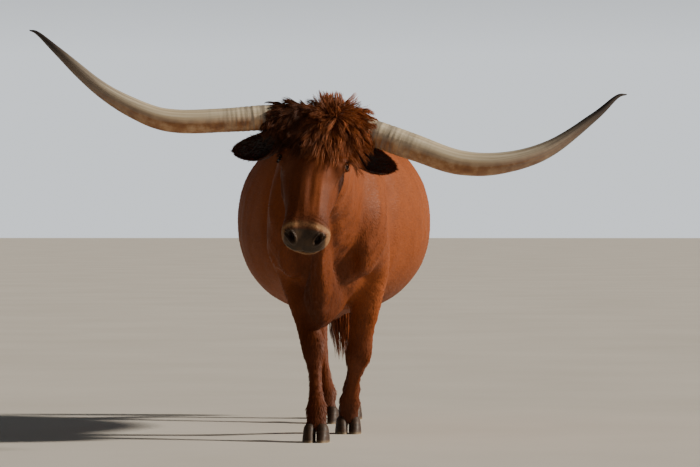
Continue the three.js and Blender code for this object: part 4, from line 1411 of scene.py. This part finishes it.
def claw_shape(which):
    """A claw with level growth rings, its toe turned in a little; which is the side of the foot it is on."""
    c, s = circle(40)
    squareness = 2 / 2.3
    rings = []
    for z, half, heel, toe, shift in spline(np.array(CLAW_LEVELS) / 1000, 40):
        grow = 0.0005 * math.sin(z * 2 * math.pi / 0.0062) + 0.0003 * math.sin(z * 2 * math.pi / 0.0023)
        grow *= z > 0.003
        x = np.sign(c) * np.abs(c) ** squareness * (half + grow)
        y = np.sign(s) * np.abs(s) ** squareness * (np.where(s > 0, heel, toe) + grow)
        x = x - which * 0.006 * np.clip(-y / 0.06, 0, 1) ** 2 * (1 - z / 0.08) + which * (0.0025 + half)
        tilt = -0.16 * y * np.clip((z - 0.02) / 0.04, 0, 1)
        rings.append(np.stack([x, y + shift, np.maximum(z + tilt, 0)], 1))
    return loft(rings)


def make_claws(finish):
    """Eight claws and eight dewclaws."""
    for name, leg in LEGS.items():
        fetlock, foot = leg["joints"][2:]
        turn = np.array(Matrix.Rotation(leg["turn"], 3, "Z"))
        for which in (-1, 1):
            place = "outer" if which == leg["side"] else "inner"
            verts, faces = claw_shape(which)
            verts = verts @ turn.T + np.array([foot[0] / 1000, foot[1] / 1000, 0])
            made = make_object("claw", verts + SHIFT, faces)
            finish_piece(made, f"hoof_{name}_{place}", "hoof", finish, f"claw_{name}_{place}")
            x, y, z = fetlock
            spur = [
                (x + which * 20, y + 26, z - 4, 13, 12, 12, 2),
                (x + which * 23, y + 46, z - 16, 12.5, 10.5, 10.5, 2.3),
                (x + which * 24, y + 57, z - 31, 8, 7, 7, 2.5),
            ]
            verts, faces = limb(spur, 24, 24, (0, 5))
            made = make_object("dewclaw", verts + SHIFT, faces)
            finish_piece(made, f"spur_{name}_{place}", "hoof", finish, f"dewclaw_{name}_{place}")


def surface_samples(mesh, weights, count, rng):
    """Random places on a mesh, as often as weights (one a face) says: points, normals."""
    mesh.calc_loop_triangles()
    tri = read(mesh.loop_triangles, "vertices", 3, np.int32)
    co = points_of(mesh)
    n = normals_of(mesh)
    a, b, c = co[tri[:, 0]], co[tri[:, 1]], co[tri[:, 2]]
    area = np.linalg.norm(np.cross(b - a, c - a), axis=1) / 2
    chance = area * weights((a + b + c) / 3 - SHIFT, unit(np.cross(b - a, c - a)))
    pick = rng.choice(len(tri), count, p=chance / chance.sum())
    r = rng.random((count, 2))
    flip = r.sum(1) > 1
    r[flip] = 1 - r[flip]
    p = a[pick] + (b - a)[pick] * r[:, :1] + (c - a)[pick] * r[:, 1:]
    normal = unit(n[tri[pick, 0]] + n[tri[pick, 1]] + n[tri[pick, 2]])
    return p - SHIFT, normal


# The locks follow guides: each is drawn towards the nearest one, so that they clump
GUIDES = 260
LOCK_RINGS = 8
MOP_HALF = 0.18
MOP_VOXEL = 0.006
# Centre, radii, turn and how much smaller the cushion is than the solid mop, in millimetres
MOP_FORMS = [
    ((-104, 6, -44), (112, 78, 78), (0, 0, 0.08), 13),
    ((104, 6, -44), (112, 78, 78), (0, 0, -0.08), 10),
    ((0, -26, -22), (104, 96, 52), (0.2, 0, 0), 20),
]


def make_forelock(count, length, finish, under):
    """The mop between the horns: a low cushion of matted hair, and long locks from the crown every way."""
    rng = np.random.default_rng(41)
    cushion = [ball(at, np.array(radii) - inset, turn) for at, radii, turn, inset in MOP_FORMS]
    base = voxel_mesh(make_object("mop", *merge(cushion)), MOP_VOXEL)
    h = points_of(base.data)
    h = neighbour_mean(h, edges_of(base.data), 6, 0.5)
    set_points(base.data, h)
    n = normals_of(base.data)
    clumps = noise(h * np.array([1.0, 0.35, 0.6]), 0.014, 42) * 0.006 + noise(h, 0.04, 43) * 0.008
    body = head_to_body(h + n * clumps[:, None])
    # The cushion is painted at 0.4 of the coat's colour: painted shade under the locks
    paint(base.data, body, 0.4)
    set_points(base.data, body + SHIFT)

    def weights(p, normal):
        q = body_to_head(p)
        m = normal @ HEAD_MATRIX
        upper = step(-0.12, -0.05, q[:, 2]) * step(-0.5, 0.0, m[:, 2] + 0.5 * m[:, 1] + 0.3)
        return upper * (0.4 + 0.6 * step(0.26, 0.1, np.abs(q[:, 0])))

    def poll(p, normal):
        q = body_to_head(p)
        m = normal @ HEAD_MATRIX
        high = step(-0.14, -0.07, q[:, 1]) * step(-0.13, -0.05, q[:, 2]) * step(0.1, 0.05, q[:, 1])
        return high * step(0.2, 0.15, np.abs(q[:, 0])) * step(-0.5, 0.0, m[:, 2] + 0.6 * m[:, 1]) + 1e-9

    hide = bpy.data.objects["hide"].data

    def scatter(number):
        """Root places: on the mop's cushion, and where the skin of the poll rises out of it."""
        first = surface_samples(base.data, weights, number - number // 3, rng)
        second = surface_samples(hide, poll, number // 3, rng)
        return np.vstack([first[0], second[0]]), np.vstack([first[1], second[1]])

    down = HEAD_MATRIX.T @ np.array([0, 0, -1.0])
    whorl = np.array([0.05, 0.03, 0.02])

    def grow(p, normal, spread, scale):
        """Paths in the head's frame: flat and short on the right, long and tousled on the left, high on top.

        spread is how far they stray from each other, scale their usual length.
        """
        q = body_to_head(p)
        m = normal @ HEAD_MATRIX
        away = q - whorl
        away[:, 2] *= 0.3
        away = unit(away)
        left = step(-0.05, 0.05, q[:, 0])
        side = step(0.05, 0.15, np.abs(q[:, 0]))
        crown = bell(q[:, 0] - 0.045, 0.042) * step(-0.03, 0.03, q[:, 1])
        toss = rng.normal(size=q.shape) * (spread * (0.5 + 0.5 * left))[:, None]
        start = unit(m * (0.45 + 0.45 * left)[:, None] + away * 0.7 + np.array([0, 0.12, 0.05]) + toss)
        fall = unit(away * 0.9 + down * (0.6 + 0.5 * side)[:, None] + m * 0.12 + toss * 0.6)
        # No lock dives back into the cushion it grows from
        fall = unit(fall - m * (0.8 * np.minimum(np.sum(fall * m, 1), 0))[:, None])
        fall = unit(fall + (m * 1.1 + np.array([-0.05, 0.45, 0.1])) * crown[:, None])
        outer = step(0.08, 0.16, q[:, 0])
        start = unit(start + np.array([0.8, -0.35, 0.3]) * outer[:, None])
        fall = unit(fall + np.array([0.6, -0.35, 0.3]) * (outer * (rng.random(len(q)) < 0.5))[:, None])
        brow = step(-0.01, -0.07, q[:, 1]) * step(0.13, 0.06, np.abs(q[:, 0] - 0.03))
        size = scale * (0.8 + 0.2 * left + 0.24 * crown + 0.3 * outer + 0.65 * brow)
        size = size * rng.uniform(0.65, 1.15, len(q))
        return drift(q - m * 0.007, start, fall, size, LOCK_RINGS, 1.5 * spread, rng, spread)

    made = []
    for layer in ("under", "over"):
        guide_p, guide_n = scatter(GUIDES)
        guides = grow(guide_p, guide_n, 0.3, length * (0.95 if layer == "under" else 1.1))
        p, normal = scatter(count)
        paths = grow(p, normal, 0.12, length * (0.8 if layer == "under" else 1.0))
        near = np.empty(count, int)
        for start in range(0, count, 500):
            gap = np.linalg.norm(p[start:start + 500, None] - guide_p[None], axis=2)
            near[start:start + 500] = gap.argmin(1)
        pull = np.linspace(0, 1, LOCK_RINGS)[None, :, None] ** 0.8 * rng.uniform(0.55, 0.92, (count, 1, 1))
        offset = (paths[:, :1] - guides[near, :1]) * 0.25
        paths = paths + (guides[near] + offset - paths) * pull
        # Locks that reach past the mop's half width are drawn back to it, softly
        beyond = np.maximum(np.abs(paths[..., 0]) - MOP_HALF, 0)
        paths[..., 0] -= np.sign(paths[..., 0]) * (beyond - 0.06 * np.tanh(beyond / 0.06))
        whole = head_to_body(paths)
        lock = np.random.default_rng(45).uniform(0.7, 1.25, GUIDES)[near]
        # Painted light: locks on the crown's left (+x), towards the key light, are lighter and those on the
        # right darker
        painted_sun_side = 0.5 + 0.75 * step(-0.07, 0.07, body_to_head(p)[:, 0])
        tone = (lock * painted_sun_side * rng.uniform(0.85, 1.15, count))[:, None] * np.array([1.0, 1.15, 1.38])
        wide = rng.uniform(0.0007, 0.0017, count)
        piece = blades(f"forelock_{layer}", p, whole, normal, wide, wide * 0.45, 44, tone)
        made.append(finish_piece(piece, f"forelock_{layer}", "long_hair", finish))
    return finish_piece(base, "forelock_mop", "long_hair", under, "forelock")


SWITCH_TOP = 0.86
SWITCH_END = 0.243


def make_switch(count, finish):
    """The tail's switch: long wavy locks that hang from the last third of the tail bone."""
    rng = np.random.default_rng(51)
    line = spline(TAIL, 200)[:, :6] / 1000
    at = line[:, :3]
    low = np.nonzero(at[:, 2] < SWITCH_TOP)[0]
    chance = step(SWITCH_TOP + 0.02, SWITCH_TOP - 0.2, at[low, 2]) + 0.05
    pick = rng.choice(low, count, p=chance / chance.sum())
    angle = rng.random(count) * 2 * math.pi
    out = np.stack([np.cos(angle), np.sin(angle), np.zeros(count)], 1)
    root = at[pick] + out * (line[pick, 3] * 0.7)[:, None]
    down = np.array([0, 0, -1.0])
    start = unit(out * 0.55 + down + rng.normal(size=out.shape) * 0.08)
    fall = unit(down + np.array([0.0, 0.03, 0]) + rng.normal(size=out.shape) * 0.05)
    end = SWITCH_END + 0.003 + 0.34 * rng.random(count) ** 1.7
    length = np.minimum((root[:, 2] - end) * 1.03, rng.uniform(0.2, 0.5, count))
    paths = drift(root, start, fall, length, 12, 0.14, rng, 0.16)
    spread = paths - at[pick][:, None] * np.array([1, 1, 0])
    spread[..., 2] = 0
    far = np.linalg.norm(spread, axis=-1, keepdims=True)
    narrow = 0.052 - 0.03 * step(0.42, 0.26, paths[..., 2:3])
    paths = paths - spread * np.maximum(0, 1 - narrow / np.maximum(far, 1e-6)) * 0.8
    paths[..., 2] = np.maximum(paths[..., 2], SWITCH_END)
    tone = rng.uniform(0.55, 1.1, (count, 1)) * np.array([0.85, 0.8, 0.78])
    wide, thick = rng.uniform(0.0018, 0.0034, count), rng.uniform(0.0007, 0.0012, count)
    made = blades("switch_locks", root, paths, out, wide, thick, 52, tone)
    return finish_piece(made, "switch_locks", "long_hair", finish, "tail_switch")


# Coat: Geometry Nodes strew tufts over the skin, laid back along it


def tuft_shape():
    """One flat tuft, 1 long and 1 wide, rooted just under the skin."""
    # Place along it, height, half width and thickness of its two sections, before its tip
    rings = [(-0.08, -0.1, 0.4, 0.06), (0.5, 0.05, 0.5, 0.055)]
    verts = []
    for x, z, half, thick in rings:
        verts += [(x, -half, z - thick * 0.5), (x, 0, z + thick), (x, half, z - thick * 0.5)]
    verts.append((1.05, 0, 0.035))
    faces = []
    for j in range(3):
        k = (j + 1) % 3
        faces += [(j, 3 + j, 3 + k), (j, 3 + k, k), (3 + j, 6, 3 + k)]
    faces.append((0, 1, 2))
    made = make_object("tuft", verts, faces)
    work = bmesh.new()
    work.from_mesh(made.data)
    bmesh.ops.recalc_face_normals(work, faces=work.faces)
    work.to_mesh(made.data)
    work.free()
    return made


COAT_INPUTS = {
    "Skin": "Geometry", "Tuft": "Object", "Width": "Float", "Sway": "Float", "Seed": "Int", "Part": "Int",
}


def coat_tree(finish):
    """Tufts strewn over a skin, and the identifiers of the tree's inputs.

    The skin's attributes say how many there are (cover), how long (long) and which way they lie (lie).
    """
    tree = bpy.data.node_groups.new("lying_coat", "GeometryNodeTree")
    sockets = {
        name: tree.interface.new_socket(name, in_out="INPUT", socket_type="NodeSocket" + kind).identifier
        for name, kind in COAT_INPUTS.items()
    }
    tree.interface.new_socket("Coat", in_out="OUTPUT", socket_type="NodeSocketGeometry")
    given = add(tree, "NodeGroupInput").node.outputs
    kept = {
        name: add(tree, "GeometryNodeInputNamedAttribute", {"Name": name}, "Attribute", data_type=kind)
        for name, kind in (("part", "INT"), ("cover", "FLOAT"), ("lie", "FLOAT_VECTOR"), ("long", "FLOAT"))
    }
    # Each tuft's own sway, length, width and rise
    chance = []
    for salt, (low, high) in enumerate(((-1.0, 1.0), (0.7, 1.25), (0.7, 1.3), (0.5, 1.1)), 1):
        seed = add(tree, "Math", (given["Seed"], float(salt)), operation="ADD")
        drawn = add(tree, "FunctionNodeRandomValue", {2: low, 3: high, "Seed": seed}, 1, data_type="FLOAT")
        chance.append(drawn)
    chosen = add(tree, "FunctionNodeCompare", {
        2: kept["part"], 3: given["Part"],
    }, data_type="INT", operation="EQUAL")
    points = add(tree, "GeometryNodeDistributePointsOnFaces", {
        "Mesh": given["Skin"], "Selection": chosen, "Density": kept["cover"], "Seed": given["Seed"],
    }, distribute_method="RANDOM")
    normal = points.node.outputs["Normal"]
    angle = add(tree, "Math", (chance[0], given["Sway"]), operation="MULTIPLY")
    lie = add(tree, "VectorRotate", {
        "Vector": kept["lie"], "Axis": normal, "Angle": angle,
    }, rotation_type="AXIS_ANGLE")
    turn = add(tree, "FunctionNodeAxesToRotation", {
        "Primary Axis": normal, "Secondary Axis": lie,
    }, primary_axis="Z", secondary_axis="X")
    long = add(tree, "Math", (kept["long"], chance[1]), operation="MULTIPLY")
    wide = add(tree, "Math", (given["Width"], chance[2]), operation="MULTIPLY")
    rise = add(tree, "Math", (long, chance[3]), operation="MULTIPLY")
    size = add(tree, "CombineXYZ", (long, wide, rise))
    tuft = add(tree, "GeometryNodeObjectInfo", {"Object": given["Tuft"]}, "Geometry")
    strewn = add(tree, "GeometryNodeInstanceOnPoints", {
        "Points": points, "Instance": tuft, "Rotation": turn, "Scale": size,
    })
    solid = add(tree, "GeometryNodeRealizeInstances", (strewn,))
    coated = add(tree, "GeometryNodeSetMaterial", {"Geometry": solid, "Material": finish})
    add(tree, "NodeGroupOutput", {"Coat": coated})
    lay_out(tree)
    return tree, sockets


# How far a tuft may turn aside from the way the coat lies, in radians
TUFT_SWAY = 0.16


def region_of(co):
    """Which of the coat's parts each point belongs to, by its place in their list."""
    x, y, z = co.T
    # Quarters lie behind the barrel, shoulders and neck before it
    left = (x >= 0).astype(int)
    region = np.where(y > 0.72, 2 + left, left)
    region = np.where(y < 0.12, 4 + left, region)
    region = np.where(z < 0.52, 6, region)
    region = np.where((y > 1.38) & (z < 1.25), 7, region)
    return np.where(head_weight(co) > 0.5, 8, region)


COAT_PARTS = [
    "barrel_right", "barrel_left", "quarter_right", "quarter_left", "shoulder_right", "shoulder_left",
    "legs", "tail", "head",
]


def make_coat(hide, density, width, finish):
    """Strews the lying coat over the hide, in pieces of a manageable size."""
    mesh = hide.data
    co = points_of(mesh) - SHIFT
    n = normals_of(mesh)
    source = placed("coat_source", mesh.copy())
    skin = source.data
    store(skin, "lie", hair_lie(co, n))
    store(skin, "long", hair_length(co))
    bare = bare_skin(co)
    dense = density * (bare < 0.4) * (co[:, 2] > COAT_END)
    # Finer tufts lie closer on head and legs
    dense = dense * np.where(head_weight(co) > 0.5, 2.6, 1.0) * np.where(co[:, 2] < 0.5, 1.5, 1.0)
    store(skin, "cover", dense)
    store(skin, "part", region_of(read(skin.polygons, "center") - SHIFT), "FACE")
    tuft = tuft_shape()
    tree, sockets = coat_tree(finish)
    per = len(tuft.data.vertices)
    run = np.clip(np.array([v.co.x for v in tuft.data.vertices]), 0, 1)
    for i, part in enumerate(COAT_PARTS):
        modifier = source.modifiers.new("coat", "NODES")
        modifier.node_group = tree
        part_width = width * {"head": 0.55, "legs": 0.8}.get(part, 1.0)
        given = {"Tuft": tuft, "Width": part_width, "Sway": TUFT_SWAY, "Seed": 60 + i, "Part": i}
        for name, value in given.items():
            modifier[sockets[name]] = value
        source.update_tag()
        graph = bpy.context.evaluated_depsgraph_get()
        grown = bpy.data.meshes.new_from_object(source.evaluated_get(graph), depsgraph=graph)
        source.modifiers.remove(modifier)
        made = placed(f"coat_{part}", grown)
        for spare in list(grown.attributes):
            if not spare.is_internal and not spare.is_required and spare.name != "position":
                grown.attributes.remove(spare)
        p = points_of(grown).reshape(-1, per, 3) - SHIFT
        # Each tuft takes its light as the hide under it does, so that the coat looks sleek
        flat = unit(np.cross(p[:, per - 1] - (p[:, 0] + p[:, 2]) / 2, p[:, 2] - p[:, 0]))
        own = normals_of(grown).reshape(-1, per, 3)
        grown.normals_split_custom_set_from_vertices(unit(flat[:, None] * 0.8 + own * 0.2).reshape(-1, 3))
        wear(made, p[:, :3].mean(1), per, run, 70 + i)
        finish_piece(made, f"coat_{part}", "coat", finish)
    bpy.data.objects.remove(source)
    bpy.data.objects.remove(tuft)


FLOOR_HALF = 150
# The view, fitted to the animal: the camera's place, how far it looks down and aside in degrees, and its lens
CAMERA_AT = (0.4826, -13.6265, 0.88)
CAMERA_DOWN = 0.23
CAMERA_ASIDE = 1.8
LENS = 170
FILM = 36


def make_stage(light, warmth):
    """Pale floor, pale surroundings, a broad soft sun from the animal's left front, and the camera."""
    corners = [(x * FLOOR_HALF, y * FLOOR_HALF, 0) for x, y in ((-1, -1), (1, -1), (1, 1), (-1, 1))]
    floor = make_object("floor", corners, [(0, 1, 2, 3)])
    floor.data.materials.append(pale_floor_finish())
    world = bpy.data.worlds.new("studio")
    world.use_nodes = True
    tree = world.node_tree
    tree.nodes.clear()
    toward = add(tree, "SeparateXYZ", (add(tree, "TexCoord", take="Generated"),)).node.outputs
    # A bright band at eye height, and the side away from the main light held back, as by a dark flag
    glow = add(tree, "MapRange", (toward["Z"], 0.05, 0.13, 1.0, 0.08))
    flag = add(tree, "MapRange", (toward["X"], -0.9, -0.15, 0.35, 1.0))
    dimmed = add(tree, "Math", (glow, flag), operation="MULTIPLY")
    colour = add(tree, "Mix", {0: 1.0, 6: (0.9, 0.95, 1.0, 1), 7: dimmed}, **TINT_MULTIPLIED)
    add(tree, "OutputWorld", {"Surface": add(tree, "Background", {"Color": colour, "Strength": light})})
    bpy.context.scene.world = world
    # Each lamp's direction, power, spread in degrees and share of the warmth
    for name, toward, power, angle, warm in (
        ("key", (0.88, -0.04, 0.46), 5.4, 5, 1.0), ("fill", (0.3, -0.9, 0.4), 0.05, 40, 0.0),
    ):
        lamp = bpy.data.lights.new(name, "SUN")
        lamp.energy = power * light
        lamp.angle = math.radians(angle)
        lamp.color = (1.0, 1.0 - 0.1 * warm * warmth, 1.0 - 0.24 * warm * warmth)
        placed(name, lamp).rotation_euler = Vector(toward).to_track_quat("Z", "Y").to_euler()
    camera = placed("camera", bpy.data.cameras.new("camera"))
    camera.data.lens = LENS
    camera.data.sensor_width = FILM
    camera.data.clip_end = 200
    camera.location = CAMERA_AT
    camera.rotation_euler = (math.radians(90 - CAMERA_DOWN), 0, math.radians(CAMERA_ASIDE))
    bpy.context.scene.camera = camera


# Settings, operators and panel


class SteerColours(bpy.types.PropertyGroup):
    """Colours that a user would change."""

    __annotations__ = {
        key: bpy.props.FloatVectorProperty(
            name=label, description=text, subtype="COLOR", size=3, min=0, max=1, default=linear(code)
        )
        for key, (code, label, text) in SHADES.items()
    }


class SteerSettings(bpy.types.PropertyGroup):
    """Sizes and light that a user would change."""

    voxel: bpy.props.FloatProperty(
        name="Skin grain", description="Size of the skin's cells before it is sculpted",
        default=0.0112, min=0.006, subtype="DISTANCE",
    )
    coat_depth: bpy.props.FloatProperty(
        name="Coat depth", description="How far the skin sits under the coat",
        default=0.0035, subtype="DISTANCE",
    )
    coat_density: bpy.props.FloatProperty(
        name="Coat density", description="Tufts on a square metre of hide",
        default=15500.0, min=0,
    )
    tuft_width: bpy.props.FloatProperty(
        name="Tuft width", description="Width of a tuft of the lying coat",
        default=0.0030, subtype="DISTANCE",
    )
    horn_ridge: bpy.props.FloatProperty(
        name="Horn ridges", description="Height of the rings at the horn's root",
        default=0.0013, subtype="DISTANCE",
    )
    horn_rings: bpy.props.IntProperty(
        name="Horn rings", description="Sections along a horn",
        default=300, min=60,
    )
    lock_count: bpy.props.IntProperty(
        name="Forelock locks", description="Locks in each of the mop's two layers",
        default=4300, min=100,
    )
    lock_length: bpy.props.FloatProperty(
        name="Forelock length", description="Usual length of a forelock lock",
        default=0.08, subtype="DISTANCE",
    )
    switch_count: bpy.props.IntProperty(
        name="Switch locks", description="Locks in the tail's switch",
        default=900, min=50,
    )
    light: bpy.props.FloatProperty(
        name="Light", description="Brightness of the studio",
        default=1.0, min=0,
    )
    warmth: bpy.props.FloatProperty(
        name="Warmth", description="How warm the main light is",
        default=1.0, min=0, max=2,
    )


class STEER_OT_stage(bpy.types.Operator):
    """Floor, lights and camera"""

    bl_idname = "steer.stage"
    bl_label = "Stage"

    def execute(self, context):
        settings = context.scene.steer
        make_stage(settings.light, settings.warmth)
        return {"FINISHED"}


class STEER_OT_skin(bpy.types.Operator):
    """The sculpted hide over trunk, neck, head, tail and legs"""

    bl_idname = "steer.skin"
    bl_label = "Hide"

    def execute(self, context):
        settings = context.scene.steer
        make_skin(settings.voxel, settings.coat_depth)
        return {"FINISHED"}


class STEER_OT_horns(bpy.types.Operator):
    """Both horns"""

    bl_idname = "steer.horns"
    bl_label = "Horns"

    def execute(self, context):
        settings = context.scene.steer
        finish = horn_finish()
        for name in HORN_LINES:
            make_horn(name, settings.horn_rings, settings.horn_ridge, finish)
        return {"FINISHED"}


class STEER_OT_eyes(bpy.types.Operator):
    """Both eyeballs and their lashes"""

    bl_idname = "steer.eyes"
    bl_label = "Eyes"

    def execute(self, context):
        finish = eye_finish()
        lash = hair_finish("eyelashes", 0.4)
        for side in (-1, 1):
            make_eye(side, finish)
            make_lashes(side, LASHES, lash)
        return {"FINISHED"}


class STEER_OT_ears(bpy.types.Operator):
    """Both ears and the hair in them"""

    bl_idname = "steer.ears"
    bl_label = "Ears"

    def execute(self, context):
        finish = ear_finish()
        hair = hair_finish("ear_hair")
        for side in (-1, 1):
            make_ear(side, finish)
            make_ear_hair(side, EAR_HAIRS, 80 + side, hair)
        return {"FINISHED"}


class STEER_OT_hooves(bpy.types.Operator):
    """Claws and dewclaws of all four feet"""

    bl_idname = "steer.hooves"
    bl_label = "Hooves"

    def execute(self, context):
        make_claws(hoof_finish())
        return {"FINISHED"}


class STEER_OT_long_hair(bpy.types.Operator):
    """Forelock and tail switch"""

    bl_idname = "steer.long_hair"
    bl_label = "Long hair"

    def execute(self, context):
        settings = context.scene.steer
        finish = hair_finish("long_hair_in_locks", 0.45)
        under = hide_finish()
        under.name = "matted_hair"
        make_forelock(settings.lock_count, settings.lock_length, finish, under)
        make_switch(settings.switch_count, finish)
        return {"FINISHED"}


class STEER_OT_coat(bpy.types.Operator):
    """The short coat that lies over the hide"""

    bl_idname = "steer.coat"
    bl_label = "Short coat"

    def execute(self, context):
        settings = context.scene.steer
        finish = hair_finish("short_coat_tufts", 0.5, 0.11)
        make_coat(bpy.data.objects["hide"], settings.coat_density, settings.tuft_width, finish)
        return {"FINISHED"}


OPERATORS = [
    STEER_OT_stage, STEER_OT_skin, STEER_OT_horns, STEER_OT_eyes, STEER_OT_ears,
    STEER_OT_hooves, STEER_OT_long_hair, STEER_OT_coat,
]


class STEER_PT_panel(bpy.types.Panel):
    """Lists the steer's settings and the steps that build it"""

    bl_idname = "STEER_PT_panel"
    bl_label = "Longhorn steer"
    bl_space_type = "VIEW_3D"
    bl_region_type = "UI"
    bl_category = "Steer"

    def draw(self, context):
        for group in (context.scene.steer, context.scene.steer_colours):
            for key in group.__annotations__:
                self.layout.prop(group, key)
        for operator in OPERATORS:
            self.layout.operator(operator.bl_idname)


CLASSES = [SteerSettings, SteerColours, *OPERATORS, STEER_PT_panel]


def register():
    for item in CLASSES:
        bpy.utils.register_class(item)
    bpy.types.Scene.steer = bpy.props.PointerProperty(type=SteerSettings)
    bpy.types.Scene.steer_colours = bpy.props.PointerProperty(type=SteerColours)


def unregister():
    del bpy.types.Scene.steer
    del bpy.types.Scene.steer_colours
    for item in reversed(CLASSES):
        bpy.utils.unregister_class(item)


def main():
    register()
    bpy.ops.steer.stage()
    bpy.ops.steer.skin()
    bpy.ops.steer.horns()
    bpy.ops.steer.eyes()
    bpy.ops.steer.ears()
    bpy.ops.steer.hooves()
    bpy.ops.steer.long_hair()
    bpy.ops.steer.coat()


if __name__ == "__main__":
    main()
